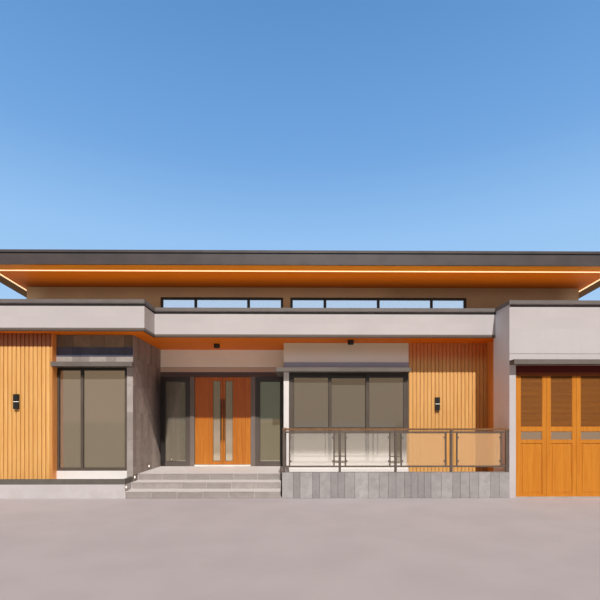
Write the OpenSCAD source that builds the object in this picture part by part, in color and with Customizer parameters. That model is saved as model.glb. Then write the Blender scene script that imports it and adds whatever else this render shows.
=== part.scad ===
// Bungalow with a raised mono-pitch roof over a clerestory.
// The front steps back in four bays: slatted wall and window, recessed
// entrance with a double door, living bay with a terrace, and garage.
// X runs left to right, Y from the front to the back, Z up; the origin is
// on the ground below the middle of the outline.

/* [House] */
// Width over the two side walls
house_w = 15140; // [14800:10:15800]
// Depth from the front plane to the outer face of the back wall
house_d = 12000; // [10000:10:14000]
// Thickness of the outer walls
wall_t = 250; // [220:5:280]
// Setback of the slatted wall behind the front plane
slat_wall_setback = 300; // [280:5:340]
// Setback of the left window wall
window_wall_setback = 450; // [420:5:490]
// Setback of the entrance canopy edge
canopy_setback = 670; // [560:10:760]
// Setback of the living bay
living_setback = 1400; // [1250:10:1550]
// Setback of the door wall and of the clerestory wall above it
door_wall_setback = 2440; // [2300:10:2800]

/* [Front bays from left to right] */
// Width of the left slatted wall
left_slat_w = 1900; // [1700:10:2100]
// Width of the left window
left_window_w = 1605; // [1400:5:1700]
// Thickness of the stone wall left of the entrance
stone_wall_t = 130; // [110:5:160]
// Clear width of the entrance recess
entrance_w = 3400; // [3300:10:3500]
// Thickness of the pier between entrance and living bay
living_pier_t = 130; // [110:5:160]
// Width of the living bay sliding window
slider_w = 3000; // [2800:10:3100]
// Width of the right slatted wall
right_slat_w = 1960; // [1850:10:2050]
// Thickness of the garage side wall
garage_wall_t = 130; // [110:5:160]
// Width of the white pier beside the garage door
garage_pier_w = 140; // [130:5:180]
// Length of that pier from the front plane
garage_pier_l = 760; // [700:10:900]
// How far the pier stands out from the garage side wall
garage_pier_step = 120; // [100:5:125]

/* [Levels] */
// House floor above the ground
floor_h = 490; // [470:5:520]
// Riser of the entrance steps
riser = 150; // [140:5:155]
// Going of the entrance steps
tread = 380; // [340:5:420]
// Garage floor above the ground
garage_floor_h = 20; // [15:5:90]
// Terrace floor above the ground
terrace_h = 350; // [300:10:400]
// Top of the kerb round the terrace
kerb_h = 563; // [540:1:600]
// Width of the kerb
kerb_w = 120; // [100:5:150]
// Open joint between the steps and the terrace base
terrace_joint = 50; // [30:5:60]
// How far the terrace base starts past the living bay's corner
terrace_step = 17; // [10:1:30]
// Head of the windows and doors
head_h = 2900; // [2860:5:2950]
// Sill of the left window
left_sill_h = 550; // [500:10:900]
// Underside of the canopies
soffit_h = 3630; // [3560:10:3760]
// Height of the grey drip edge below the white fascia
drip_h = 70; // [30:5:90]
// Height of the timber soffit above the drip edge's underside
soffit_lip = 5; // [0:5:20]
// Height of the white fascia
fascia_h = 470; // [420:10:540]
// Shadow gap below the coping
coping_gap = 70; // [50:5:90]
// Height of the metal coping
coping_h = 80; // [60:5:110]
// Open joint between two lengths of coping or drip edge
coping_joint = 2; // [1:0.5:4]
// Overhang of the left canopy past the side wall
canopy_overhang = 515; // [400:5:515]
// Thickness of the flat roof slabs
flat_roof_t = 250; // [200:10:300]
// Width of the parapet
parapet_w = 200; // [150:10:240]
// Depth by which shadow gaps are set back
shadow_inset = 20; // [20:20:40]
// Overhang of the left canopy past the stone wall
canopy_past_stone = 423; // [300:1:600]

/* [Hoods] */
// Thickness of the window hoods
hood_t = 100; // [80:5:120]
// Projection of the window hoods
hood_out = 210; // [180:5:230]
// Height of the flashing above the living hood
band_h = 154; // [120:1:200]
// Thickness of that flashing
band_t = 10; // [6:1:16]
// Overhang of the living hood past its pier
living_hood_past = 190; // [120:5:240]
// Overhang of the left hood past the stone wall
left_hood_past = 60; // [30:5:100]
// Height of the lintel band over the entrance
lintel_h = 125; // [100:5:160]

/* [Roof] */
// Setback of the roof edge behind the front plane
roof_setback = 1020; // [900:10:1200]
// Overhang past the side walls
roof_side = 515; // [515:5:700]
// Overhang past the back wall
roof_back = 500; // [300:10:700]
// Height of the soffit at the front edge
roof_soffit_h = 5450; // [5400:10:5600]
// Pitch, falling to the back, in degrees
roof_pitch = 4.3; // [3.5:0.1:4.8]
// Depth of the roof edge below the shadow gap
roof_edge_t = 250; // [220:10:320]
// Shadow gap below the roof capping
roof_gap = 40; // [30:5:60]
// Depth of the metal capping
roof_cap_t = 60; // [40:5:90]
// Thickness of the timber soffit lining
lining_t = 20; // [15:1:30]
// Rim of the roof edge outside the lining
lining_rim = 40; // [30:5:60]
// Distance of the light channel from the roof edge
light_inset = 330; // [280:5:380]
// Width of the light channel
light_w = 60; // [20:1:90]

/* [Clerestory] */
// Sill of the clerestory lights
clere_sill_h = 4500; // [4400:10:4700]
// Head of the clerestory lights
clere_head_h = 5080; // [5000:10:5140]
// Width of the group over the entrance
clere_left_w = 3358; // [3200:1:3450]
// Width of the group over the living bay
clere_right_w = 4851; // [4600:1:5000]
// Pier between the two groups
clere_pier = 191; // [150:1:260]
// Width of the first and last light of each group
clere_end_w = 955; // [850:5:1050]

/* [Windows and doors] */
// Face width of the window frames
frame_w = 60; // [50:1:80]
// Depth of the window frames
frame_d = 80; // [60:5:110]
// Thickness of the glass units
glass_t = 24; // [18:1:32]
// Setback of a frame from its wall face
frame_set = 20; // [10:5:40]
// Width of the narrow left light of the left window
left_light_w = 576; // [500:1:700]
// Clear width of the double door
door_w = 1537; // [1480:1:1600]
// Width of the posts beside the double door
door_post_w = 122; // [100:1:140]
// Frame width round the side lights
side_frame_w = 125; // [100:1:140]
// Depth of the entrance frame
door_frame_d = 90; // [80:5:110]
// Thickness of the door leaves
leaf_t = 56; // [45:1:65]
// Gap round a door leaf
leaf_gap = 6; // [5.5:0.5:8]
// Gap between the two leaves
meeting_gap = 12; // [11:1:16]
// Width of the glass strip in a leaf
strip_w = 205; // [120:5:240]
// Distance of the strip from the meeting edge
strip_off = 60; // [57:1:80]
// Rail below the glass strip
strip_bottom_rail = 87; // [60:1:200]
// Rail above the glass strip
strip_top_rail = 104; // [60:1:200]
// Depth and width of the grooves between the leaf boards
groove = 5; // [3:1:8]
// Boards in each leaf outside the glass strip
leaf_boards = 4; // [3:1:6]
// Diameter of the pull bars
pull_d = 28; // [20:1:34]
// Length of the pull bars
pull_l = 1110; // [800:10:1400]
// Bottom of the pull bars
pull_z0 = 1170; // [900:10:1300]
// Clear gap between pull bar and leaf
pull_off = 45; // [35:1:60]
// Radius of the hinge knuckles
knuckle_r = 9; // [8:0.5:9.5]
// Length of one hinge knuckle
knuckle_l = 60; // [45:1:80]
// Radius of the hinge pins
pin_r = 5; // [4:0.5:6]
// Bearing clearance of hinges and runners
bearing_gap = 0.3; // [0.2:0.1:0.5]
// Face width of the slider sashes
sash_w = 70; // [55:1:85]
// Depth of the slider sashes
sash_d = 45; // [40:1:50]
// Depth of the slider frame
slider_frame_d = 120; // [112:1:130]

/* [Garage door] */
// Number of folding leaves
garage_leaves = 4; // [3:1:5]
// Face width of the wooden door frame
garage_frame_w = 46; // [40:1:60]
// Height of the door frame head
garage_head = 160; // [120:5:180]
// Setback of the leaves behind the front plane
garage_set = 60; // [50:5:80]
// Thickness of the leaves
garage_leaf_t = 50; // [40:1:60]
// Joint between two leaves
garage_joint = 4; // [3:1:8]
// Width of the leaf stiles
garage_stile = 88; // [70:1:100]
// Top rail of the leaves
garage_top_rail = 40; // [30:5:80]
// Bottom rail of the leaves
garage_bottom_rail = 50; // [45:1:120]
// Height of the lower panels
garage_panel_h = 1126; // [900:1:1150]
// Rail between lower panel and pane
garage_lock_rail = 64; // [60:1:110]
// Height of the small panes
garage_pane_h = 199; // [120:1:220]
// Rail between pane and louvres
garage_mid_rail = 92; // [60:1:130]
// Depth of the panels behind the face of the leaves
panel_inset = 14; // [8:1:20]

/* [Railing] */
// Top of the handrail
handrail_h = 1520; // [1480:5:1580]
// Height of the wooden handrail
handrail_t = 45; // [35:1:60]
// Width of the wooden handrail
handrail_w = 60; // [50:1:80]
// Railing posts along the front
rail_posts = 5; // [4:1:6]
// Size of the square posts
post_w = 50; // [40:1:60]
// Face width of the rails
rail_t = 34; // [25:1:40]
// Top of the second rail
upper_rail_h = 1454; // [1430:1:1465]
// Middle of the bottom rail
lower_rail_h = 687; // [660:1:760]
// Face width of the thin bars
bar_w = 30; // [20:1:34]
// Distance of the thin bars from the posts
bar_off = 125; // [110:1:150]
// Thickness of the railing glass
rail_glass_t = 12; // [8:1:15]

/* [Planter] */
// Height of the white planter wall
planter_h = 304; // [250:1:330]
// Height of its dark coping
planter_cap_h = 116; // [80:1:140]
// Width of the coping
planter_cap_w = 50; // [40:5:80]

/* [Slats] */
// Pitch of the vertical slats
slat_pitch = 93.5; // [80:0.5:110]
// Width of the grooves between them
slat_gap = 26; // [15:1:35]
// Thickness of the slats
slat_t = 18; // [10:1:22]
// Thickness of the board behind the slats
slat_back_t = 8; // [6:1:10]

/* [Side and back windows] */
// Width of a side or back window
rear_window_w = 1400; // [1000:10:1500]
// Sill of these windows
rear_sill_h = 1400; // [1000:10:1800]
// Windows in the back wall
back_windows = 4; // [3:1:5]
// Windows in each side wall
side_windows = 3; // [2:1:4]

/* [Lights] */
// Width of a wall light
wall_light_w = 110; // [90:5:150]
// Height of a wall light
wall_light_h = 330; // [250:5:400]
// Depth of a wall light
wall_light_d = 60; // [50:5:120]
// Middle of the wall lights
wall_light_z = 2110; // [1900:10:2300]
// Distance of the left wall light from the left corner
wall_light_left = 1140; // [700:5:1500]
// Distance of the right wall light from the slider
wall_light_right = 705; // [500:5:1400]
// Diameter of the round ceiling lights
downlight_d = 150; // [110:5:180]
// Height of the round ceiling lights
downlight_h = 100; // [70:5:130]

/* [Hidden] */

$fn = 48;

// Stations across the front
x_left = -house_w / 2;
x_right = house_w / 2;
x_window = x_left + left_slat_w;
x_stone = x_window + left_window_w;
x_recess = x_stone + stone_wall_t;
x_living = x_recess + entrance_w;
x_slider = x_living + living_pier_t;
x_slats = x_slider + slider_w;
x_garage_wall = x_slats + right_slat_w;
x_garage = x_garage_wall - garage_pier_step;
x_door_open = x_garage + garage_pier_w;
x_garage_in = x_right - wall_t;
x_canopy_left = x_left - canopy_overhang;
x_canopy_step = x_recess + canopy_past_stone;
x_terrace = x_living + terrace_step;
x_house_edge = max(x_garage_wall + garage_wall_t, x_door_open);

// Stations from the front to the back; the outline is centred on Y = 0
roof_reach = house_d + roof_back;
y_front = (hood_out - roof_reach) / 2;
y_slat_wall = y_front + slat_wall_setback;
y_window_wall = y_front + window_wall_setback;
y_canopy = y_front + canopy_setback;
y_living = y_front + living_setback;
y_door_wall = y_front + door_wall_setback;
y_door_in = y_door_wall + wall_t;
y_back = y_front + house_d;
y_back_in = y_back - wall_t;
y_roof = y_front + roof_setback;
y_roof_end = y_front + roof_reach;

// Levels
landing_h = 3 * riser;
band_z = head_h + hood_t;
band_top = band_z + band_h;
lintel_top = head_h + lintel_h;
plate_h = soffit_h + drip_h;
lining_z = soffit_h + soffit_lip;
flat_roof_top = plate_h + flat_roof_t;
fascia_top = plate_h + fascia_h;
coping_z = fascia_top + coping_gap;
coping_top = coping_z + coping_h;
clere_z = [clere_sill_h, clere_head_h];

white = [0.81, 0.78, 0.76];
beige = [0.69, 0.59, 0.49];
dark_frame = [0.16, 0.14, 0.13];
grey_metal = [0.46, 0.44, 0.42];
timber = [0.80, 0.48, 0.20];
stone_grey = [0.62, 0.59, 0.57];

// Box between three pairs of stations
module block(x, y, z)
    translate([x[0], y[0], z[0]])
        cube([x[1] - x[0], y[1] - y[0], z[1] - z[0]]);

// Underside of the roof at a station, with the fall in whole millimetres a metre
roof_slope = round(1000 * tan(roof_pitch)) / 1000;
function roof_z(y) = roof_soffit_h - (y - y_roof) * roof_slope;

// Prism along X over a profile of [y, z] points
module along_x(x, profile)
    translate([x[0], 0, 0]) rotate([90, 0, 90])
        linear_extrude(x[1] - x[0]) polygon(profile);

// Plate that follows the roof, between two offsets above its underside
module roof_plate(x, y, dz)
    along_x(x, [
        [y[0], roof_z(y[0]) + dz[0]], [y[1], roof_z(y[1]) + dz[0]],
        [y[1], roof_z(y[1]) + dz[1]], [y[0], roof_z(y[0]) + dz[1]]
    ]);

// Wall from a level up to the roof's underside
module wall_to_roof(x, y, z0)
    along_x(x, [[y[0], z0], [y[1], z0], [y[1], roof_z(y[1])], [y[0], roof_z(y[0])]]);

// Plate over a plan outline
module plate(outline, z)
    translate([0, 0, z[0]]) linear_extrude(z[1] - z[0]) polygon(outline);

// Frame in a wall along X: edges lists the outer edge, each mullion's middle and the far edge
module framed(edges, y, z, w)
    difference() {
        block([edges[0], edges[len(edges) - 1]], y, z);
        for (i = [0 : len(edges) - 2])
            block([light_x0(edges, i, w), light_x1(edges, i, w)], [y[0] - 1, y[1] + 1], [z[0] + w, z[1] - w]);
    }

function light_x0(edges, i, w) = edges[i] + (i == 0 ? w : w / 2);
function light_x1(edges, i, w) = edges[i + 1] - (i == len(edges) - 2 ? w : w / 2);

// Glass in the lights of such a frame
module glazed(edges, y, z, w)
    for (i = [0 : len(edges) - 2])
        block([light_x0(edges, i, w), light_x1(edges, i, w)], y, [z[0] + w, z[1] - w]);

// The middle of a frame's depth, as thick as the glass
function pane_y(y) = [(y[0] + y[1] - glass_t) / 2, (y[0] + y[1] + glass_t) / 2];

// Floors

module house_floor() color(stone_grey)
    plate([
        [x_left + wall_t, y_slat_wall + wall_t], [x_window, y_slat_wall + wall_t],
        [x_window, y_window_wall + wall_t], [x_stone, y_window_wall + wall_t],
        [x_stone, y_door_in], [x_slider, y_door_in],
        [x_slider, y_living + wall_t], [x_garage_wall, y_living + wall_t],
        [x_house_edge, y_living + wall_t], [x_house_edge, y_back_in],
        [x_left + wall_t, y_back_in]
    ], [0, floor_h]);

module garage_floor() color(stone_grey)
    union() {
        block([x_door_open, x_garage_in], [y_front, y_front + garage_pier_l], [0, garage_floor_h]);
        block([x_house_edge, x_garage_in], [y_front + garage_pier_l, y_back_in], [0, garage_floor_h]);
    }

// Entrance steps and terrace

steps_x = [x_recess, x_terrace - terrace_joint];

module step_lower() color(stone_grey)
    block(steps_x, [y_front, y_front + tread], [0, riser]);

module step_upper() color(stone_grey)
    block(steps_x, [y_front + tread, y_front + 2 * tread], [0, 2 * riser]);

module entrance_landing() color(stone_grey)
    union() {
        block(steps_x, [y_front + 2 * tread, y_door_in], [0, landing_h]);
        block([x_recess, x_living], [y_door_wall, y_door_in], [0, landing_h]);
    }

module terrace_base() color(stone_grey)
    difference() {
        union() {
            block([x_terrace, x_garage], [y_front, y_living], [0, kerb_h]);
            block([x_garage, x_garage_wall], [y_front + garage_pier_l, y_living], [0, terrace_h]);
        }
        block([x_terrace + kerb_w, x_garage + 1], [y_front + kerb_w, y_living + 1], [terrace_h, kerb_h + 1]);
    }

rail_y = y_front + kerb_w / 2;
rail_x0 = x_terrace + post_w / 2;
rail_x1 = x_garage - post_w / 2 - 8;
rail_pitch = (rail_x1 - rail_x0) / (rail_posts - 1);
handrail_z = handrail_h - handrail_t;
rail_glass_z = [lower_rail_h + rail_t / 2, upper_rail_h - rail_t];
function post_x(i) = rail_x0 + i * rail_pitch;
function around(c, w) = [c - w / 2, c + w / 2];

// The three rails, as [width, bottom, top]
rails = [
    [rail_t, lower_rail_h - rail_t / 2, lower_rail_h + rail_t / 2],
    [rail_t, upper_rail_h - rail_t, upper_rail_h],
    [handrail_w, handrail_z, handrail_h]
];

module terrace_railing() color(dark_frame)
    union() {
        for (i = [0 : rail_posts - 1])
            block(around(post_x(i), post_w), around(rail_y, post_w), [kerb_h, handrail_z]);
        for (r = rails)
            block([rail_x0 - r[0] / 2, x_garage], around(rail_y, r[0]), [r[1], r[2]]);
        for (i = [0 : rail_posts - 2], x = [post_x(i) + bar_off, post_x(i + 1) - bar_off])
            block(around(x, bar_w), around(rail_y, bar_w), [lower_rail_h, upper_rail_h - rail_t / 2]);
    }

// Return of the railing to the living bay pier
return_y = [rail_y + handrail_w / 2, y_living];

module railing_return() color(dark_frame)
    union() {
        block(around(rail_x0, post_w), [y_living - post_w, y_living], [kerb_h, handrail_z]);
        for (r = rails)
            block(around(rail_x0, r[0]), return_y, [r[1], r[2]]);
        for (y = [return_y[0] + bar_off, y_living - post_w - bar_off])
            block(around(rail_x0, bar_w), around(y, bar_w), [lower_rail_h, upper_rail_h - rail_t / 2]);
    }

module railing_glass() color([0.75, 0.72, 0.65, 0.4]) {
    for (i = [0 : rail_posts - 2])
        block([post_x(i) + bar_off + bar_w / 2, post_x(i + 1) - bar_off - bar_w / 2],
              around(rail_y, rail_glass_t), rail_glass_z);
    block(around(rail_x0, rail_glass_t),
          [return_y[0] + bar_off + bar_w / 2, y_living - post_w - bar_off - bar_w / 2], rail_glass_z);
}

// Planter in front of the left bay

planter_x = [x_left, x_recess];
y_slat_face = y_slat_wall - slat_t - slat_back_t;

module planter_wall() color(white)
    union() {
        block(planter_x, [y_front, y_slat_face], [0, planter_h]);
        block([x_window, x_recess], [y_slat_face, y_window_wall], [0, planter_h]);
    }

module planter_coping() color([0.37, 0.36, 0.34])
    union() {
        block(planter_x, [y_front, y_front + planter_cap_w], [planter_h, planter_h + planter_cap_h]);
        block([x_recess - planter_cap_w, x_recess], [y_front, y_window_wall],
              [planter_h, planter_h + planter_cap_h]);
    }

// Slatted walls

left_slats = [x_left, x_window];
right_slats = [x_slats, x_garage_wall];

module slat_backing_walls() color(white) {
    block(left_slats, [y_slat_wall, y_slat_wall + wall_t], [0, plate_h]);
    block(right_slats, [y_living, y_living + wall_t], [0, plate_h]);
}

// Board with vertical slats in front of it, as one profile drawn up the wall
module slatted(x, y, z)
    translate([0, 0, z[0]]) linear_extrude(z[1] - z[0]) union() {
        translate([x[0], y - slat_back_t]) square([x[1] - x[0], slat_back_t]);
        for (i = [0 : floor((x[1] - x[0] - slat_pitch + slat_gap) / slat_pitch)])
            translate([x[0] + slat_gap / 2 + i * slat_pitch, y - slat_back_t - slat_t])
                square([slat_pitch - slat_gap, slat_t + slat_back_t / 2]);
    }

module slat_cladding() color(timber) {
    slatted(left_slats, y_slat_wall, [planter_h, lining_z]);
    slatted(right_slats, y_living, [terrace_h, lining_z]);
}

// Walls below and above the front windows

left_window_x = [x_window, x_stone];
slider_x = [x_slider, x_slats];

module window_sill_walls() color(white) {
    block(left_window_x, [y_window_wall, y_window_wall + wall_t], [0, left_window_z[0]]);
    block(slider_x, [y_living, y_living + wall_t], [0, floor_h]);
}

module window_head_walls() color(white)
    block(slider_x, [y_living, y_living + wall_t], [head_h, plate_h]);

module window_hoods() color(grey_metal) {
    // Left window
    block([x_window, x_recess + left_hood_past], [y_window_wall - hood_out, y_window_wall], [head_h, band_z]);
    // Living bay, with its return into the entrance
    union() {
        block([x_living - living_hood_past, x_slats], [y_living - hood_out, y_living], [head_h, band_z]);
        block([x_living - living_hood_past, x_living], [y_living, y_door_wall - band_t], [head_h, band_z]);
        block([x_living, x_slats], [y_living - band_t, y_living], [band_z, band_top]);
    }
    // Garage
    block([x_garage, x_right], [y_front - hood_out, y_front], [head_h, band_z]);
}

// Front and clerestory windows

left_frame_y = [y_window_wall + frame_set, y_window_wall + frame_set + frame_d];
left_edges = [x_window, x_window + left_light_w, x_stone];
left_window_z = [left_sill_h, head_h];

clere_y = [y_door_wall + frame_set, y_door_wall + frame_set + frame_d];
clere_a = x_recess;
clere_b = clere_a + clere_left_w + clere_pier;
clere_b1 = clere_b + clere_right_w;
left_clere_edges = [clere_a, clere_a + clere_end_w, clere_a + clere_left_w - clere_end_w,
                    clere_a + clere_left_w];
right_clere_edges = [clere_b, clere_b + clere_end_w, (clere_b + clere_b1) / 2,
                     clere_b1 - clere_end_w, clere_b1];

// Side and back windows stand in the middle of equal bays
rear_z = [rear_sill_h, head_h];
function bay_mid(a, b, n, i) = a + (i + 0.5) * (b - a) / n;
function back_edges(i) = let (c = bay_mid(x_left + wall_t, x_garage_in, back_windows, i))
    [c - rear_window_w / 2, c, c + rear_window_w / 2];
function side_edges(i) = let (c = bay_mid(y_door_in, y_back_in, side_windows, i))
    [c - rear_window_w / 2, c, c + rear_window_w / 2];
back_frame_y = [y_back - frame_set - frame_d, y_back - frame_set];
side_frame_y = [frame_set, frame_set + frame_d];

// Turns what is drawn along X, with Y inwards, into the left or the right side wall
module on_left() translate([x_left, 0, 0]) mirror([1, 0, 0]) rotate([0, 0, 90]) children();
module on_right() translate([x_right, 0, 0]) rotate([0, 0, 90]) children();

module window_frames() color(dark_frame) {
    framed(left_edges, left_frame_y, left_window_z, frame_w);
    framed(left_clere_edges, clere_y, clere_z, frame_w);
    framed(right_clere_edges, clere_y, clere_z, frame_w);
    for (i = [0 : back_windows - 1])
        framed(back_edges(i), back_frame_y, rear_z, frame_w);
    for (i = [0 : side_windows - 1]) {
        on_left() framed(side_edges(i), side_frame_y, rear_z, frame_w);
        on_right() framed(side_edges(i), side_frame_y, rear_z, frame_w);
    }
}

module window_glass() color([0.55, 0.6, 0.62, 0.5]) {
    glazed(left_edges, pane_y(left_frame_y), left_window_z, frame_w);
    glazed(left_clere_edges, pane_y(clere_y), clere_z, frame_w);
    glazed(right_clere_edges, pane_y(clere_y), clere_z, frame_w);
    for (edges = [side_light_left, side_light_right])
        glazed(edges, pane_y(door_frame_y), side_light_z, side_frame_w);
    glazed(fixed_left, pane_y(fixed_y), sash_z, sash_w);
    glazed(fixed_right, pane_y(fixed_y), sash_z, sash_w);
    for (i = [0 : back_windows - 1])
        glazed(back_edges(i), pane_y(back_frame_y), rear_z, frame_w);
    for (i = [0 : side_windows - 1]) {
        on_left() glazed(side_edges(i), pane_y(side_frame_y), rear_z, frame_w);
        on_right() glazed(side_edges(i), pane_y(side_frame_y), rear_z, frame_w);
    }
}

// Entrance

door_mid = (x_recess + x_living) / 2;
door_x = around(door_mid, door_w);
door_frame_y = [y_door_wall, y_door_wall + door_frame_d];
side_light_z = [landing_h, head_h];
side_light_left = [x_recess, door_x[0] - door_post_w];
side_light_right = [door_x[1] + door_post_w, x_living];
leaf_w = (door_w - 2 * leaf_gap - meeting_gap) / 2;
leaf_y = [y_door_wall + door_frame_d - leaf_t, y_door_wall + door_frame_d];
leaf_z = [floor_h + 8, head_h - leaf_gap];
hinge_y = leaf_y[1] + knuckle_r;
hinge_x = door_x[0] + leaf_gap / 2;
hinge_plate = [30, 3];
hinge_heights = [floor_h + 230, (floor_h + head_h) / 2, head_h - 250];

// Stone wall beside the steps, which turns the corner over the left window
module stone_side_wall() color([0.45, 0.41, 0.39])
    union() {
        block([x_stone, x_recess], [y_window_wall, y_door_in], [0, plate_h]);
        block([x_window, x_recess], [y_window_wall, y_window_wall + wall_t], [head_h, plate_h]);
    }

module door_threshold() color(white)
    block(door_x, [y_door_wall - 30, y_door_in], [landing_h, floor_h]);

module door_head_wall() color(beige)
    union() {
        block([x_recess, x_living], [y_door_wall, y_door_in], [head_h, plate_h]);
        block([x_recess, x_living], [y_door_wall - band_t, y_door_wall], [head_h, lintel_top]);
    }

// Lower half of a hinge with its pin, on the left post
module hinge_seat(z)
    translate([hinge_x, hinge_y, z]) {
        translate([0, 0, -knuckle_l]) cylinder(r = knuckle_r, h = knuckle_l);
        cylinder(r = pin_r, h = knuckle_l - 6);
        translate([-hinge_plate[0], -knuckle_r, -knuckle_l])
            cube([hinge_plate[0], hinge_plate[1], knuckle_l]);
    }

// Upper half of a hinge, on the left leaf
module hinge_knuckle(z)
    translate([hinge_x, hinge_y, z + bearing_gap])
        difference() {
            union() {
                cylinder(r = knuckle_r, h = knuckle_l);
                translate([0, -knuckle_r, 0]) cube([hinge_plate[0], hinge_plate[1], knuckle_l]);
            }
            translate([0, 0, -1]) cylinder(r = pin_r + bearing_gap, h = knuckle_l - 3);
        }

// Mirrors the left leaf's parts to the right leaf
module mirrored_leaf() translate([2 * door_mid, 0, 0]) mirror([1, 0, 0]) children();

module entrance_frame() color(dark_frame)
    union() {
        framed(side_light_left, door_frame_y, side_light_z, side_frame_w);
        framed(side_light_right, door_frame_y, side_light_z, side_frame_w);
        block([door_x[0] - door_post_w, door_x[0]], door_frame_y, side_light_z);
        block([door_x[1], door_x[1] + door_post_w], door_frame_y, side_light_z);
        for (z = hinge_heights) {
            hinge_seat(z);
            mirrored_leaf() hinge_seat(z);
        }
    }

leaf_x = [door_x[0] + leaf_gap, door_x[0] + leaf_gap + leaf_w];
strip_x = [leaf_x[1] - strip_off - strip_w, leaf_x[1] - strip_off];
strip_z = [leaf_z[0] + strip_bottom_rail, leaf_z[1] - strip_top_rail];
board_w = (strip_x[0] - leaf_x[0]) / leaf_boards;

module leaf()
    difference() {
        union() {
            block(leaf_x, leaf_y, leaf_z);
            for (z = hinge_heights) hinge_knuckle(z);
        }
        block(strip_x, [leaf_y[0] - 1, leaf_y[1] + 1], strip_z);
        for (i = [1 : leaf_boards - 1])
            block(around(leaf_x[0] + i * board_w, groove), [leaf_y[0] - 1, leaf_y[0] + groove],
                  [leaf_z[0] - 1, leaf_z[1] + 1]);
    }

module leaf_glass()
    block(strip_x, pane_y(leaf_y), strip_z);

module leaf_pull()
    translate([leaf_x[1] - strip_off / 2 - 4, leaf_y[0] - pull_off - pull_d / 2, pull_z0]) {
        cylinder(d = pull_d, h = pull_l);
        for (z = [pull_l * 0.12, pull_l * 0.88])
            translate([0, 0, z]) rotate([-90, 0, 0]) cylinder(d = pull_d * 0.6, h = pull_off + pull_d / 2);
    }

module door_leaf_left() color(timber) leaf();
module door_leaf_right() color(timber) mirrored_leaf() leaf();
module door_glass_left() color([0.5, 0.5, 0.48, 0.5]) leaf_glass();
module door_glass_right() color([0.5, 0.5, 0.48, 0.5]) mirrored_leaf() leaf_glass();
module door_pull_left() color(dark_frame) leaf_pull();
module door_pull_right() color(dark_frame) mirrored_leaf() leaf_pull();

// Living bay with its sliding window

slider_y = [y_living + frame_set, y_living + frame_set + slider_frame_d];
slider_z = [floor_h, head_h];
slider_frame_w = 50;
sash_gap = 6;
fixed_y = [slider_y[0] + 6, slider_y[0] + 6 + sash_d];
moving_y = [fixed_y[1] + sash_gap, fixed_y[1] + sash_gap + sash_d];
sash_z = [slider_z[0] + slider_frame_w, slider_z[1] - slider_frame_w];
third = (slider_w - 2 * slider_frame_w + 2 * sash_w) / 3;
fixed_left = [x_slider + slider_frame_w, x_slider + slider_frame_w + third];
fixed_right = [x_slats - slider_frame_w - third, x_slats - slider_frame_w];
moving_x = [fixed_left[1] - sash_w, fixed_right[0] + sash_w];
moving_z = [sash_z[0] + sash_gap, sash_z[1] - sash_gap];

module living_pier() color(white)
    block([x_living, x_slider], [y_living, y_door_in], [0, plate_h]);

module slider_frame() color(dark_frame)
    framed(slider_x, slider_y, slider_z, slider_frame_w);

module fixed_sashes() color(dark_frame) {
    framed(fixed_left, fixed_y, sash_z, sash_w);
    framed(fixed_right, fixed_y, sash_z, sash_w);
}

module sliding_leaf() color(dark_frame)
    union() {
        framed(moving_x, moving_y, moving_z, sash_w);
        // Runner blocks on the bottom track
        for (x = [moving_x[0] + 120, moving_x[1] - 120])
            block(around(x, 80), around((moving_y[0] + moving_y[1]) / 2, 16),
                  [sash_z[0] + bearing_gap, moving_z[0] + 1]);
    }

module sliding_leaf_glass() color([0.55, 0.6, 0.62, 0.5])
    glazed(moving_x, pane_y(moving_y), moving_z, sash_w);

// Garage

opening_x = [x_door_open, x_garage_in];
garage_frame_y = [y_front + garage_set - 20, y_front + garage_set + garage_leaf_t + 20];
garage_leaf_y = [y_front + garage_set, y_front + garage_set + garage_leaf_t];
garage_leaf_z = [garage_floor_h + bearing_gap, head_h - garage_head - bearing_gap];
leaves_x0 = opening_x[0] + garage_frame_w;
garage_leaf_pitch = (opening_x[1] - opening_x[0] - 2 * garage_frame_w) / garage_leaves;
garage_panel_z = [garage_leaf_z[0] + garage_bottom_rail,
                  garage_leaf_z[0] + garage_bottom_rail + garage_panel_h];
garage_pane_z = [garage_panel_z[1] + garage_lock_rail, garage_panel_z[1] + garage_lock_rail + garage_pane_h];
garage_louvre_z = [garage_pane_z[1] + garage_mid_rail, garage_leaf_z[1] - garage_top_rail];
function garage_leaf_x(i) = [leaves_x0 + i * garage_leaf_pitch + garage_joint / 2,
                             leaves_x0 + (i + 1) * garage_leaf_pitch - garage_joint / 2];
function garage_light_x(i) = [garage_leaf_x(i)[0] + garage_stile, garage_leaf_x(i)[1] - garage_stile];

module garage_pier() color(white)
    block([x_garage, x_door_open], [y_front, y_front + garage_pier_l], [0, plate_h]);

module garage_side_wall() color(timber)
    block([x_garage_wall, x_garage_wall + garage_wall_t],
          [y_front + garage_pier_l, y_living + wall_t], [0, plate_h]);

module garage_head_wall() color(white)
    block([x_door_open, x_garage_in], [y_front, y_front + wall_t], [head_h, plate_h]);

module garage_frame() color(timber)
    union() {
        block([opening_x[0], opening_x[0] + garage_frame_w], garage_frame_y, [garage_floor_h, head_h]);
        block([opening_x[1] - garage_frame_w, opening_x[1]], garage_frame_y, [garage_floor_h, head_h]);
        block(opening_x, garage_frame_y, [head_h - garage_head, head_h]);
    }

module garage_leaf(i)
    difference() {
        block(garage_leaf_x(i), garage_leaf_y, garage_leaf_z);
        block(garage_light_x(i), [garage_leaf_y[0] - 1, garage_leaf_y[1] + 1], garage_pane_z);
        for (z = [garage_panel_z, garage_louvre_z])
            block(garage_light_x(i), [garage_leaf_y[0] - 1, garage_leaf_y[0] + panel_inset], z);
    }

module garage_doors() color(timber)
    for (i = [0 : garage_leaves - 1]) garage_leaf(i);

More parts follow.
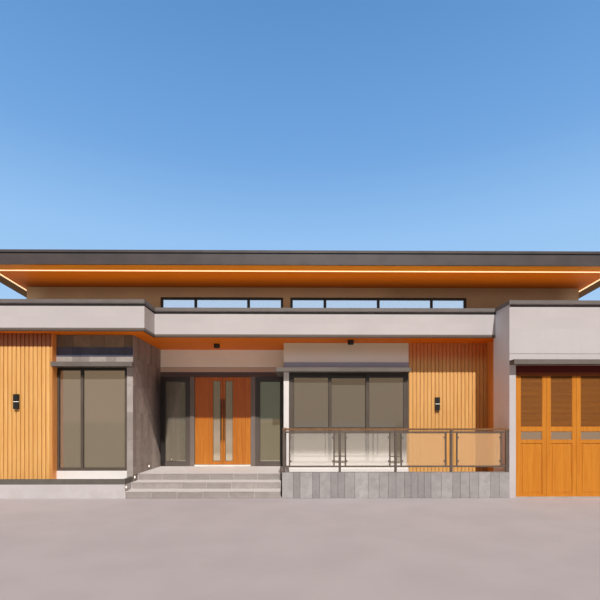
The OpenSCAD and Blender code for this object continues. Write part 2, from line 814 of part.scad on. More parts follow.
module garage_panes() color([0.6, 0.6, 0.58, 0.5])
    for (i = [0 : garage_leaves - 1])
        block(garage_light_x(i), pane_y(garage_leaf_y), garage_pane_z);

// Flat roofs, parapet and edges over the front bays

slab_z = [plate_h, flat_roof_top];

module left_canopy() color(white)
    block([x_canopy_left, x_canopy_step], [y_front, y_door_wall], slab_z);

module entrance_canopy() color(white)
    block([x_canopy_step, x_garage], [y_canopy, y_door_wall], slab_z);

module garage_roof() color(white)
    block([x_garage, x_right], [y_front, y_door_wall], slab_z);

// Band of width w that follows the stepped edge, its outer side set in by s
function edge_band(w, s) = [
    [x_canopy_left + s, y_door_wall], [x_canopy_left + s, y_front + s],
    [x_canopy_step - s, y_front + s], [x_canopy_step - s, y_canopy + s],
    [x_garage + s, y_canopy + s], [x_garage + s, y_front + s],
    [x_right - s, y_front + s], [x_right - s, y_door_wall],
    [x_right - w, y_door_wall], [x_right - w, y_front + w],
    [x_garage + w, y_front + w], [x_garage + w, y_canopy + w],
    [x_canopy_step - w, y_canopy + w], [x_canopy_step - w, y_front + w],
    [x_canopy_left + w, y_front + w], [x_canopy_left + w, y_door_wall]
];

module lower_parapet() color(white)
    union() {
        plate(edge_band(parapet_w, 0), [slab_z[1], fascia_top]);
        plate(edge_band(parapet_w, shadow_inset), [fascia_top, coping_z]);
    }

// Straight lengths of width w along the edge of the two canopies, with open joints at the corners
function canopy_runs(w, end) = let (a = w + coping_joint) [
    [[x_canopy_left, x_canopy_left + w], [y_front + a, y_door_wall]],
    [[x_canopy_left, x_canopy_step], [y_front, y_front + w]],
    [[x_canopy_step - w, x_canopy_step], [y_front + a, y_canopy + w]],
    [[x_canopy_step + coping_joint, end], [y_canopy, y_canopy + w]]
];

// The same round the garage roof
function garage_runs(w) = let (a = w + coping_joint) [
    [[x_garage, x_garage + w], [y_front + a, y_canopy + w]],
    [[x_garage, x_right], [y_front, y_front + w]],
    [[x_right - w, x_right], [y_front + a, y_door_wall]]
];

module canopy_flashings() color(grey_metal) {
    for (r = concat(canopy_runs(parapet_w, x_garage - coping_joint), garage_runs(parapet_w)))
        block(r[0], r[1], [coping_z, coping_top]);
    for (r = canopy_runs(lining_rim, x_garage))
        block(r[0], r[1], [soffit_h, plate_h]);
}

// Roof

roof_x = [x_left - roof_side, x_right + roof_side];
roof_y = [y_roof, y_roof_end];
function inset(range, s) = [range[0] + s, range[1] - s];
wall_x = [x_left, x_right];
wall_y = [y_door_wall, y_back];

// Space under the roof edge, outside the walls
module eaves(s, dz)
    difference() {
        roof_plate(inset(roof_x, s), inset(roof_y, s), dz);
        roof_plate(wall_x, wall_y, [dz[0] - 50, dz[1] + 50]);
    }

// Light channel along the front and the sides
module light_channel(dz)
    difference() {
        roof_plate(inset(roof_x, light_inset), [y_roof + light_inset, y_back], dz);
        roof_plate(inset(roof_x, light_inset + light_w), [y_roof + light_inset + light_w, y_back + 1],
                   [dz[0] - 50, dz[1] + 50]);
    }

module roof_deck() color([0.40, 0.37, 0.34])
    difference() {
        union() {
            roof_plate(roof_x, roof_y, [0, roof_edge_t]);
            roof_plate(inset(roof_x, shadow_inset), inset(roof_y, shadow_inset),
                       [roof_edge_t, roof_edge_t + roof_gap]);
        }
        eaves(lining_rim, [-60, lining_t]);
    }

module roof_capping() color([0.34, 0.34, 0.36])
    roof_plate(roof_x, roof_y, [roof_edge_t + roof_gap, roof_edge_t + roof_gap + roof_cap_t]);

canopy_lining = [
    [x_canopy_left + lining_rim, y_door_wall], [x_canopy_left + lining_rim, y_front + lining_rim],
    [x_canopy_step - lining_rim, y_front + lining_rim], [x_canopy_step - lining_rim, y_canopy + lining_rim],
    [x_garage, y_canopy + lining_rim], [x_garage, y_front + garage_pier_l],
    [x_garage_wall, y_front + garage_pier_l], [x_garage_wall, y_living],
    [x_living, y_living], [x_living, y_door_wall], [x_recess, y_door_wall],
    [x_recess, y_window_wall], [x_window, y_window_wall], [x_window, y_slat_wall],
    [x_left, y_slat_wall], [x_left, y_door_wall]
];

module soffit_boards() color(timber) {
    plate(canopy_lining, [lining_z, plate_h]);
    difference() {
        eaves(lining_rim, [0, lining_t]);
        light_channel([-50, lining_t + 50]);
    }
}

module soffit_light() color([1, 0.87, 0.67])
    light_channel([lining_t - 8, lining_t]);

// Upper walls

upper_y = [y_door_wall, y_door_in];

module upper_wall_base() color(beige)
    block(wall_x, upper_y, [plate_h, clere_z[0]]);

module upper_wall_piers() color(beige) {
    block([x_left, clere_a], upper_y, clere_z);
    block([clere_a + clere_left_w, clere_b], upper_y, clere_z);
    block([clere_b1, x_right], upper_y, clere_z);
}

module upper_wall_head() color(beige)
    wall_to_roof(wall_x, upper_y, clere_z[1]);

// Side and back walls

module low_side_walls() color(white) {
    block([x_left, x_left + wall_t], [y_slat_wall + wall_t, y_door_in], [0, plate_h]);
    block([x_garage_in, x_right], [y_front, y_door_in], [0, plate_h]);
}

module side_walls() color(beige)
    for (x = [[x_left, x_left + wall_t], [x_garage_in, x_right]])
        difference() {
            wall_to_roof(x, [y_door_in, y_back_in], 0);
            for (i = [0 : side_windows - 1])
                block([x[0] - 1, x[1] + 1], [side_edges(i)[0], side_edges(i)[2]], rear_z);
        }

module back_wall() color(beige)
    difference() {
        wall_to_roof(wall_x, [y_back_in, y_back], 0);
        for (i = [0 : back_windows - 1])
            block([back_edges(i)[0], back_edges(i)[2]], [y_back_in - 1, y_back + 1], rear_z);
    }

// Lights

module wall_light(x, y)
    difference() {
        block(around(x, wall_light_w), [y - wall_light_d, y], around(wall_light_z, wall_light_h));
        block(around(x, wall_light_w + 2), [y - wall_light_d - 1, y - 20], around(wall_light_z, 14));
    }

downlights = [[door_mid, (y_canopy + y_door_wall) / 2], [(x_slider + x_slats) / 2, (y_canopy + y_living) / 2]];

module outdoor_lights() color([0.1, 0.1, 0.1]) {
    wall_light(x_left + wall_light_left, y_slat_face);
    wall_light(x_slats + wall_light_right, y_living - slat_t - slat_back_t);
    for (p = downlights)
        translate([p[0], p[1], lining_z - downlight_h])
            difference() {
                cylinder(d = downlight_d, h = downlight_h);
                translate([0, 0, -1]) cylinder(d = downlight_d - 30, h = downlight_h / 2);
            }
}

house_floor();
garage_floor();
step_lower();
step_upper();
entrance_landing();
terrace_base();
terrace_railing();
railing_return();
railing_glass();
planter_wall();
planter_coping();
slat_backing_walls();
slat_cladding();
window_sill_walls();
window_head_walls();
window_hoods();
window_frames();
window_glass();
stone_side_wall();
door_threshold();
entrance_frame();
door_head_wall();
door_leaf_left();
door_leaf_right();
door_glass_left();
door_glass_right();
door_pull_left();
door_pull_right();
living_pier();
slider_frame();
fixed_sashes();
sliding_leaf();
sliding_leaf_glass();
garage_pier();
garage_side_wall();
garage_head_wall();
garage_frame();
garage_doors();
garage_panes();
left_canopy();
entrance_canopy();
garage_roof();
lower_parapet();
canopy_flashings();
soffit_boards();
soffit_light();
upper_wall_base();
upper_wall_piers();
upper_wall_head();
low_side_walls();
side_walls();
back_wall();
roof_deck();
roof_capping();
outdoor_lights();
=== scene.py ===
import math
import bmesh
import bpy
from mathutils import Matrix, Vector


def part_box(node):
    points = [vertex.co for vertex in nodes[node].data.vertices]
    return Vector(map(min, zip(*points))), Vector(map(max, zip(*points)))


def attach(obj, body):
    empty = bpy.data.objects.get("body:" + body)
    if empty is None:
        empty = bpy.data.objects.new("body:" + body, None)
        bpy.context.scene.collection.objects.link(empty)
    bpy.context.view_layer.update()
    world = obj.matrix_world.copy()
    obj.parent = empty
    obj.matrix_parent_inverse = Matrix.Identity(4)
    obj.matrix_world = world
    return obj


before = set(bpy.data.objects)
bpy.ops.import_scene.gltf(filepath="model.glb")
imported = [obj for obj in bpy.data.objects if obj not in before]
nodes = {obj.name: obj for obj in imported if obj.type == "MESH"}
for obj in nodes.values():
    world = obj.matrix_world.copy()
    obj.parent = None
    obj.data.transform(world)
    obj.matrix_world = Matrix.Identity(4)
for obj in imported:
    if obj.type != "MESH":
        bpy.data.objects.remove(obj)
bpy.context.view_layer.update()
print("frame loaded:", len(nodes), "nodes")


# helpers for nodes

def tint(*display):
    # a display colour of three values from 0 to 255, as the linear values that a socket takes
    return tuple(((c / 255 + 0.055) / 1.055) ** 2.4 if c > 10 else c / 255 / 12.92 for c in display)


def shade(colour, factor):
    return tuple(min(1.0, c * factor) for c in colour)


class Wire:
    # one socket, so that shader maths reads as a Python expression
    def __init__(self, tree, socket):
        self.tree, self.socket = tree, socket

    def calc(self, operation, *values):
        return self.tree.add("ShaderNodeMath", {"operation": operation}, dict(enumerate(values)))

    def __add__(self, other):
        return self.calc("ADD", self, other)

    def __radd__(self, other):
        return self.calc("ADD", other, self)

    def __sub__(self, other):
        return self.calc("SUBTRACT", self, other)

    def __rsub__(self, other):
        return self.calc("SUBTRACT", other, self)

    def __mul__(self, other):
        return self.calc("MULTIPLY", self, other)

    def __truediv__(self, other):
        return self.calc("DIVIDE", self, other)

    def floor(self):
        return self.calc("FLOOR", self)

    def fraction(self):
        return self.calc("FRACT", self)

    def absolute(self):
        return self.calc("ABSOLUTE", self)

    def below(self, limit):
        return self.calc("LESS_THAN", self, limit)

    def above(self, limit):
        return self.calc("GREATER_THAN", self, limit)

    def between(self, low, high):
        return self.above(low) * self.below(high)

    def ease(self, low, high, start=0.0, end=1.0):
        # smooth step between two values, clamped outside them
        return self.tree.add("ShaderNodeMapRange", {"interpolation_type": "SMOOTHSTEP"}, {
            "Value": self, "From Min": low, "From Max": high, "To Min": start, "To Max": end})

    def wide(self, start=0.0, end=1.0):
        # the middle part of a noise, spread over the whole range
        return self.ease(0.3, 0.7, start, end)


class Tree:
    def __init__(self, tree):
        self.tree = tree
        tree.nodes.clear()

    def add(self, kind, settings=None, inputs=None, out=0):
        node = self.tree.nodes.new(kind)
        for key, value in (settings or {}).items():
            if key == "stops":
                ramp = node.color_ramp
                for i, (place, colour) in enumerate(value):
                    stop = ramp.elements[i] if i < 2 else ramp.elements.new(place)
                    stop.position = place
                    stop.color = (*colour, 1)
            else:
                setattr(node, key, value)
        for key, value in (inputs or {}).items():
            if isinstance(value, Wire):
                self.tree.links.new(value.socket, node.inputs[key])
            else:
                node.inputs[key].default_value = value
        return Wire(self, node.outputs[out]) if node.outputs else None

    def place(self):
        return self.add("ShaderNodeTexCoord", out=3)  # Object coordinates

    def axes(self, vector, letters="XYZ"):
        node = self.tree.nodes.new("ShaderNodeSeparateXYZ")
        self.tree.links.new(vector.socket, node.inputs[0])
        return [Wire(self, node.outputs[letter]) for letter in letters]

    def height(self, at):
        return self.axes(at, "Z")[0]

    def join(self, x, y, z):
        return self.add("ShaderNodeCombineXYZ", None, {0: x, 1: y, 2: z})

    def stretch(self, vector, factors):
        return self.add("ShaderNodeVectorMath", {"operation": "MULTIPLY"}, {0: vector, 1: factors})

    def noise(self, vector, scale, detail, roughness=0.5, distortion=0.0):
        return self.add("ShaderNodeTexNoise", None, {"Vector": vector, "Scale": scale, "Detail": detail,
                                                     "Roughness": roughness, "Distortion": distortion})

    def random(self, value):
        return self.add("ShaderNodeTexWhiteNoise", {"noise_dimensions": "1D"}, {"W": value})

    def mix(self, mask, first, second, mode="MIX"):
        node = self.tree.nodes.new("ShaderNodeMix")
        node.data_type, node.blend_type = "RGBA", mode
        for key, value in ((0, mask), (6, first), (7, second)):
            if isinstance(value, Wire):
                self.tree.links.new(value.socket, node.inputs[key])
            else:
                node.inputs[key].default_value = value if key == 0 else (*value, 1)
        return Wire(self, node.outputs[2])

    def bump(self, height, distance, strength):
        return self.add("ShaderNodeBump", None, {
            "Height": height, "Distance": distance, "Strength": strength})

    def facing(self, letter="Z"):
        # how far the surface faces along an axis
        return self.axes(self.add("ShaderNodeNewGeometry", out=1), letter)[0]


def finish(name, build):
    # material whose Principled sockets come from build(tree) as a dictionary
    material = bpy.data.materials.new(name)
    material.use_nodes = True
    tree = Tree(material.node_tree)
    sockets = build(tree)
    shader = tree.add("ShaderNodeBsdfPrincipled", None, sockets)
    tree.add("ShaderNodeOutputMaterial", None, {"Surface": shader})
    return material


def dress(material, *names):
    for name in names:
        for place in nodes[name].material_slots:
            place.material = material


# finishes; a function given as over may change the paint by its place on the house, mostly as painted
# shade and light

def plasterFinish(name, colour, soil=0.35, band=None, over=None):
    # trowelled plaster; band is (low, high, colour) of a painted strip
    def build(t):
        at = t.place()
        z = t.height(at)
        fine = t.noise(at, 190, 3, 0.6)
        trowel = t.noise(at, 7, 4, 0.55)
        cloud = t.noise(at, 0.8, 3)
        streaks = t.noise(t.stretch(at, (9, 9, 0.5)), 1, 3)
        foot = z.ease(0.0, 0.45, 1.0, 0.0) * t.noise(at, 3.5, 4).ease(0.35, 0.7)
        paint = t.mix(cloud.wide(), shade(colour, 0.955), shade(colour, 1.03))
        paint = t.mix(trowel.ease(0.45, 0.75) * 0.22, paint, shade(colour, 0.9))
        paint = t.mix(streaks.ease(0.55, 0.8) * 0.1, paint, shade(colour, 0.8))
        paint = t.mix(foot * soil, paint, tint(132, 116, 98))
        if band:
            low, high, strip = band
            paint = t.mix(z.between(low, high), paint, t.mix(cloud.wide(), shade(strip, 0.9), strip))
        if over:
            paint = over(t, at, paint)
        return {"Base Color": paint, "Roughness": trowel.wide(0.82, 0.93), "Specular IOR Level": 0.3,
                "Normal": t.bump(fine * 0.6 + trowel * 0.4, 0.0012, 0.55)}
    return finish(name, build)


felt = {"firstLap": -8.1, "lapWidth": 0.012}


def roofFinish(name, colour, top):
    # plaster on the faces, mineral felt in lengths one metre wide where it lies flat
    def build(t):
        at = t.place()
        fine = t.noise(at, 190, 3, 0.6)
        cloud = t.noise(at, 0.9, 4)
        grit = t.noise(at, 420, 2, 0.7)
        flat = t.facing().ease(0.5, 0.9)
        lap = (t.axes(at, "X")[0] - felt["firstLap"]).fraction().below(felt["lapWidth"])
        sheet = t.mix(cloud.wide(), shade(top, 0.82), shade(top, 1.12))
        sheet = t.mix(grit.ease(0.55, 0.7) * 0.5, sheet, shade(top, 1.6))
        sheet = t.mix(lap, sheet, shade(top, 0.45))
        paint = t.mix(cloud.wide(), shade(colour, 0.955), shade(colour, 1.03))
        # painted light on the garage roof's side face, as on the garage's side
        paint = paintedSideLight(t, at, paint)
        return {"Base Color": t.mix(flat, paint, sheet), "Roughness": 0.88,
                "Normal": t.bump(fine * (1 - flat) + grit * flat, 0.0015, 0.5)}
    return finish(name, build)


def stoneFinish(name, dark, light, speck, rough=0.72, inSlabs=True, top=None, over=None):
    # split stone, with a tone for each slab; top is a paler colour for the faces that lie flat
    def build(t):
        at = t.place()
        if inSlabs:
            tone = t.add("ShaderNodeAttribute", {"attribute_name": "tone"}, out=2)
        else:
            tone = t.noise(at, 0.7, 2)
        body = t.noise(at, 5.5, 6, 0.62, 0.4)
        pores = t.noise(at, 95, 4, 0.7)
        chips = t.add("ShaderNodeTexVoronoi", None, {"Vector": at, "Scale": 130.0})
        base = t.mix(tone, dark, light)
        base = t.mix(body.ease(0.35, 0.7) * 0.45, base, shade(dark, 0.8))
        base = t.mix(pores.ease(0.52, 0.72) * 0.55, base, speck)
        base = t.mix(chips.ease(0.0, 0.28, 1.0, 0.0) * 0.3, base, shade(dark, 0.5))
        if top:
            paleTop = t.mix(body.wide(), shade(top, 0.94), top)
            base = t.mix(t.facing().ease(0.4, 0.8) * 0.85, base, paleTop)
        if over:
            base = over(t, at, base)
        return {"Base Color": base, "Roughness": pores.wide(rough - 0.08, rough + 0.1),
                "Normal": t.bump(pores * 0.5 + body * 0.5, 0.0016, 0.5)}
    return finish(name, build)


def timberFinish(name, light, dark, pitch, spread, along=2, across=0, start=0.0, joints=0.0, gloss=0.42,
                 stained=None, mirror=None, restart=None, grooves=None, coat=0.12, over=None):
    # grain runs along one axis, and each board across another gets its own tone; stained is (height, colour)
    # of a header, mirror the middle line of a pair of leaves, restart (x, shift) where the boards start anew,
    # and grooves (first face, step to the next face, depth, lip) of slats with a dark backing
    def build(t):
        at = t.place()
        parts = t.axes(at)
        if mirror is None:
            place = parts[across] - start
            if restart:
                place = place - parts[0].above(restart[0]) * restart[1]
            board = (place / pitch).floor()
        else:
            fromMiddle = parts[across] - mirror
            board = ((fromMiddle.absolute() - start) / pitch).floor() + fromMiddle.above(0.0) * 40.0
        own = t.random(board * 1.37 + 3.1)
        other = t.random(board * 2.71 + 8.3)
        drawn = t.stretch(at, tuple(1.5 if i == along else 34.0 for i in range(3)))
        shift = t.join(own * 19.0, own * 11.0, own * 23.0)
        grainAt = t.add("ShaderNodeVectorMath", {"operation": "ADD"}, {0: drawn, 1: shift})
        grain = t.noise(grainAt, 1.0, 5, 0.62, 0.6)
        rings = t.noise(grainAt, 0.22, 3, 0.5, 1.4)
        pores = t.noise(t.stretch(at, tuple(8 if i == along else 420 for i in range(3))), 1.0, 2, 0.6)
        tone = grain.ease(0.3, 0.72)
        colour = t.mix(tone, dark, light)
        colour = t.mix(rings.ease(0.42, 0.62) * 0.3, colour, shade(dark, 0.86))
        colour = t.mix(pores.ease(0.56, 0.74) * 0.22, colour, shade(dark, 0.6))
        colour = t.mix(own * spread, colour, shade(dark, 0.82))
        colour = t.mix(other.ease(0.7, 1.0) * spread * 0.5, colour, shade(light, 1.12))
        if stained:
            height, stain = stained
            colour = t.mix(parts[2].above(height), colour, t.mix(tone, shade(stain, 0.7), stain))
        if grooves:
            face, step, depth, lip = grooves
            deep = ((parts[1] - (face - lip)) / step).fraction().above((depth + lip) / step)
            colour = t.mix(deep * 0.3, colour, shade(dark, 0.16))
        if over:
            colour = over(t, at, colour)
        relief = grain * 0.5 + pores * 0.5
        if joints:
            seat = ((parts[across] - start) / pitch).fraction()
            edge = (seat - 0.5).absolute().ease(0.5 - 1.4 * joints / pitch, 0.5 - 0.4 * joints / pitch)
            colour = t.mix(edge * 0.8, colour, shade(dark, 0.22))
            relief = relief * 0.3 - edge * 3.0
        return {"Base Color": colour, "Roughness": grain.wide(gloss - 0.05, gloss + 0.12),
                "Normal": t.bump(relief, 0.0008, 0.6), "Coat Weight": coat, "Coat Roughness": 0.3,
                "Specular IOR Level": 0.5 if coat else 0.2}
    return finish(name, build)


def metalFinish(name, colour, rough=0.42, dust=0.3, over=None):
    # powder-coated metal
    def build(t):
        at = t.place()
        film = t.noise(at, 2.3, 4, 0.6)
        peel = t.noise(at, 350, 2)
        smear = t.noise(t.stretch(at, (5, 5, 0.8)), 1.0, 4)
        lying = t.facing().ease(0.4, 0.95) * film.ease(0.3, 0.75)
        paint = t.mix(film.wide(), shade(colour, 0.93), shade(colour, 1.06))
        paint = t.mix(smear.ease(0.5, 0.75) * 0.15, paint, shade(colour, 1.35))
        paint = t.mix(lying * dust, paint, tint(150, 140, 126))
        if over:
            paint = over(t, at, paint)
        return {"Base Color": paint, "Roughness": film.wide(rough - 0.06, rough + 0.1),
                "Normal": t.bump(peel, 0.0003, 0.25)}
    return finish(name, build)


def glassFinish(name, colour, seeThrough, metallic, high=None, film=None):
    # coated glass; high is the clearer, bluer coating of the high windows, and film may change its colour and
    # density by its place on the house, as painted shade, light and reflection
    def build(t):
        at = t.place()
        patches = t.noise(at, 1.7, 4, 0.6)
        drops = t.noise(at, 60, 2, 0.7)
        haze = patches.ease(0.45, 0.8) * drops.ease(0.5, 0.8)
        body = t.mix(haze * 0.4, colour, shade(colour, 1.3))
        shine = metallic
        if high:
            upper = t.height(at).above(zone["highWindows"])
            body = t.mix(upper, body, high)
            shine = upper * (0.96 - metallic) + metallic
        wave = t.noise(at, 0.9, 2)
        solid = haze.ease(0.0, 1.0, 1 - seeThrough, 1.05 - seeThrough)
        if film:
            body, solid = film(t, at, body, solid)
        return {"Base Color": body, "Roughness": haze.ease(0.0, 1.0, 0.03, 0.14), "Metallic": shine,
                "Alpha": solid, "Coat Weight": 1.0, "Coat Roughness": 0.02, "IOR": 1.52,
                "Normal": t.bump(wave, 0.002, 0.25)}
    return finish(name, build)


def tileFinish(name, dark, light, size, joint, origin=(0.0, 0.0), mortar=None):
    # square tiles seen from above, with recessed joints; mortar is (x, y, colour) of the outer faces below
    # x or y
    def build(t):
        at = t.place()
        x, y = t.axes(at, "XY")
        u, v = (x - origin[0]) / size, (y - origin[1]) / size
        own = t.random(u.floor() * 7.3 + v.floor() * 31.7)
        body = t.noise(at, 4.2, 5, 0.6)
        grit = t.noise(at, 130, 3, 0.7)
        jointEdge = 0.5 - joint / size / 2
        edge = (u.fraction() - 0.5).absolute().above(jointEdge)
        edge = edge.calc("MAXIMUM", edge, (v.fraction() - 0.5).absolute().above(jointEdge))
        flat = t.facing().above(0.5)
        colour = t.mix(body.wide(), dark, light)
        colour = t.mix(own * 0.3, colour, shade(dark, 0.9))
        colour = t.mix(grit.ease(0.55, 0.72) * 0.3, colour, shade(light, 1.2))
        colour = t.mix(edge * flat, colour, shade(dark, 0.55))
        if mortar:
            outer = x.calc("MAXIMUM", x.below(mortar[0]), y.below(mortar[1]))
            colour = t.mix(outer * (1 - flat), colour, mortar[2])
        return {"Base Color": colour, "Roughness": grit.wide(0.55, 0.7),
                "Normal": t.bump(grit * 0.3 - edge * flat * 2.0, 0.0012, 0.5)}
    return finish(name, build)


def glowFinish(name, colour, strength):
    # a lens or diffuser that gives light itself
    def build(t):
        soft = t.noise(t.place(), 40, 2).wide()
        return {"Base Color": t.mix(soft, shade(colour, 0.95), colour), "Roughness": 0.5,
                "Emission Color": t.mix(soft, shade(colour, 0.92), colour), "Emission Strength": strength}
    return finish(name, build)


# where the painted tones begin and end on the house, most of them painted shade, light and reflection, in
# metres; a pair is a range, and slantRise a ratio
zone = {"highWindows": 4.3, "highSoffit": 4.2, "frontBays": -4.0, "frontHalf": 0.0, "stain": 2.745,
        "doorMiddle": -2.235, "entranceLeft": -4.0, "livingLeft": -0.5, "livingRight": 4.0,
        "garageSide": (4.2, 4.6), "sideCools": (2.2, 3.3), "sideDarkens": (3.4, 4.1),
        "upperTop": (5.0, 5.36), "upperRight": (1.9, 2.7), "upperEnds": (6.9, 7.5),
        "handrail": 1.4755, "frontHeads": (2.72, 3.0), "sliderRail": 0.625, "sliderSeal": 0.66,
        "dripEdge": 3.71, "dripPales": (3.63, 3.69),
        "leftSlatTops": 3.335, "leftSlats": (3.34, 3.63), "rightSlats": (3.04, 3.42),
        "behindStrip": 0.2, "besideStrips": 7.76, "towardsWall": (0.28, 1.28), "wallEnds": (7.3, 7.8),
        "topRails": (2.63, 2.7), "topBlades": (2.56, 2.7), "topLeaves": (1.72, 1.8),
        "shadedSashes": 1.785, "sashEdge": 0.887, "outerJamb": 1.575,
        "upstand": 3.003, "livingHood": (-0.6, 2.7), "hoodTop": 3.05, "aboveHood": (3.2, 3.55),
        "lintel": (2.8, 3.025), "lintelEdge": (3.025, 3.15), "parapetGap": (4.1695, 4.2305),
        "slantFrom": -4.568, "slantRise": 1.12, "slant": (1.67, 1.73), "recessWall": (-4.1, -3.8),
        "towardsDoor": (-4.8, -3.85), "recessTop": (2.6, 3.3),
        "glassMiddle": (1.68, 1.78), "rightSideLight": -2.2, "doorStrips": 0.8, "stripFoot": (0.8, 1.36),
        "sliderFoot": (0.66, 0.98), "rightRailBays": 2.2, "railFoot": (0.82, 1.1)}
capping = {"height": 0.06, "gap": 0.04}
slat = {"pitch": 0.0935, "left": -7.57, "nextFace": 1.1, "depth": 0.0155, "lip": 0.003}
capLow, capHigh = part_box("roof_capping")
slope = (capHigh.z - capping["height"] - capLow.z) / (capHigh.y - capLow.y)
lightLow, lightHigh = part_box("soffit_light")


def paintedSideLight(t, at, paint):
    # painted light: the garage's side towards the terrace is painted paler than its front and warmer towards
    # the foot, as the warm light thrown back onto it from the terrace
    x, z = t.axes(at, "XZ")
    side = t.mix(z.ease(*zone["sideCools"]), (0.96, 0.79, 0.77), (0.85, 0.87, 0.93))
    side = t.mix(z.ease(*zone["sideDarkens"]), side, (0.7, 0.73, 0.79))
    return t.mix(t.facing("X").below(-0.5) * x.between(*zone["garageSide"]), paint, side)


def paintedEavesShade(t, at, paint):
    # painted shade: the front of the upper wall, below the deep eaves, is painted deeper in colour as their
    # shade, most of all at its top and right, and painted paler at both ends as light reaching in there
    x, z = t.axes(at, "XZ")
    deeper = t.mix(z.ease(*zone["upperTop"]), (0.62, 0.61, 0.59), (0.47, 0.38, 0.31))
    paint = t.mix(t.facing("Y").below(-0.5), paint, deeper, "MULTIPLY")
    paint = t.mix(x.ease(*zone["upperRight"]), paint, (0.73, 0.72, 0.72), "MULTIPLY")
    return t.mix(x.absolute().ease(*zone["upperEnds"]), paint, (1.55, 1.75, 1.8), "MULTIPLY")


def oiledHandrail(t, at, paint):
    # the timber rail on top of the metal one
    grain = t.noise(t.stretch(at, (6, 60, 60)), 1.0, 4, 0.6)
    oiled = t.mix(grain.wide(), tint(112, 75, 43), tint(139, 102, 65))
    return t.mix(t.height(at).above(zone["handrail"]), paint, oiled)


def frameShadeAndReflection(t, at, paint):
    # painted shade and reflection: the high windows' frames are painted black and the heads of the front
    # windows nearly so, as the shade under the eaves and hoods; the slider's bottom rails are painted pale,
    # as the bright reflection over them in the railing glass
    x, y, z = t.axes(at)
    front = y.below(zone["frontBays"])
    paint = t.mix(z.above(zone["highWindows"]), paint, tint(15, 13, 12))
    paint = t.mix(z.between(*zone["frontHeads"]) * front, paint, tint(26, 21, 18))
    bottomRails = z.below(zone["sliderRail"]) * front * x.above(zone["livingLeft"])
    return t.mix(bottomRails, paint, tint(238, 232, 224))


def darkDripEdge(t, at, paint):
    # the drip edges below the canopies are darker towards the bottom
    z = t.height(at)
    dark = t.mix(z.ease(*zone["dripPales"]), tint(74, 60, 50), tint(112, 100, 90))
    return t.mix(z.below(zone["dripEdge"]), paint, dark)


def paintedSlatShade(t, at, paint):
    # painted shade: the tops of the slats are painted deeper in colour, as the canopy's shadow on them
    x, z = t.axes(at, "XZ")
    left = t.mix(z.ease(*zone["leftSlats"]), tint(160, 90, 48), tint(134, 62, 24))
    paint = t.mix(x.below(0.0) * z.above(zone["leftSlatTops"]) * 0.9, paint, left)
    return t.mix(x.above(0.0) * z.ease(*zone["rightSlats"]) * 0.85, paint, tint(208, 112, 42))


def paintedSoffitShade(t, at, paint):
    # painted shade: the boards under the low canopies are painted deeper in colour; those under the high roof
    # are painted deeper towards the front wall and beyond the light strip at the sides, as the shade there
    x, y, z = t.axes(at)
    fromMiddle = x.absolute()
    high = z.above(zone["highSoffit"])
    paint = t.mix(high, t.mix(1.0, paint, (0.98, 0.8, 0.45), "MULTIPLY"), paint)
    boards = t.mix(y.below(lightLow.y), (0.66, 0.57, 0.5), (0.68, 0.84, 1.5))
    paint = t.mix(high, paint, boards, "MULTIPLY")
    sides = high * y.above(lightLow.y + zone["behindStrip"]) * fromMiddle.above(zone["besideStrips"])
    paint = t.mix(sides, paint, (0.2, 0.36, 0.3), "MULTIPLY")
    near, far = zone["towardsWall"]
    inner = y.ease(lightLow.y + near, lightLow.y + far) * fromMiddle.ease(*zone["wallEnds"], 1.0, 0.0)
    return t.mix(high * inner, paint, tint(108, 50, 10))


def paintedTopRailShade(t, at, paint):
    # painted shade of the hood on the top rails of the folding leaves, close below it
    z = t.height(at)
    return t.mix(z.ease(*zone["topRails"]) * z.below(zone["stain"]), paint, tint(120, 56, 20))


def paintedBladeShade(t, at, paint):
    # painted shade of the hood on the top louvre blades, close below it
    return t.mix(t.height(at).ease(*zone["topBlades"]) * 0.7, paint, tint(60, 32, 10))


def paintedSashShade(t, at, paint):
    # painted shade: the side lights' frames are painted darker at their outer jambs and, below the canopy,
    # all round
    x, z = t.axes(at, "XZ")
    fromMiddle = (x - zone["doorMiddle"]).absolute()
    shaded = z.above(zone["shadedSashes"]) * fromMiddle.above(zone["sashEdge"])
    paint = t.mix(shaded, paint, tint(50, 46, 46))
    return t.mix(fromMiddle.above(zone["outerJamb"]), paint, tint(40, 35, 32))


def paintedLeafShade(t, at, paint):
    # painted shade: the upper halves of the entrance leaves, in the canopy's shade, are painted redder, as
    # the warm light thrown back there
    redder = t.mix(1.0, paint, (1.0, 0.74, 0.62), "MULTIPLY")
    return t.mix(t.height(at).ease(*zone["topLeaves"]), paint, redder)


def paintedUpstandShade(t, at, paint):
    # painted shade: the upstand between the living bay's hood and the wall above it is painted a cooler
    # blue-grey, as its bluish shade
    x, z = t.axes(at, "XZ")
    return t.mix(z.above(zone["upstand"]) * x.between(*zone["livingHood"]), paint, tint(172, 182, 206))


def paintedCoolLight(t, at, paint):
    # painted light: the wall and pier over the living bay's hood are painted paler and cooler towards the
    # hood, as the cool light reaching in there
    z = t.height(at)
    cooler = t.mix(z.ease(*zone["aboveHood"]), tint(250, 252, 244), tint(222, 216, 186))
    return t.mix(z.above(zone["hoodTop"]), paint, cooler)


def paintedRecessShade(t, at, base):
    # painted shade: the side wall of the entrance is painted deeper in colour above the slant where the
    # canopy's shade ends, most of all beside the door
    x, y, z = t.axes(at)
    slant = (z + (y - zone["slantFrom"]) * zone["slantRise"]).ease(*zone["slant"])
    shaded = slant * t.facing("X").above(0.5) * x.between(*zone["recessWall"])
    beside = y.ease(*zone["towardsDoor"]) * z.ease(*zone["recessTop"], 1.0, 0.0)
    deeper = t.mix(1.0, base, t.mix(beside, (0.74, 0.73, 0.74), (0.13, 0.13, 0.16)), "MULTIPLY")
    return t.mix(shaded, base, deeper)


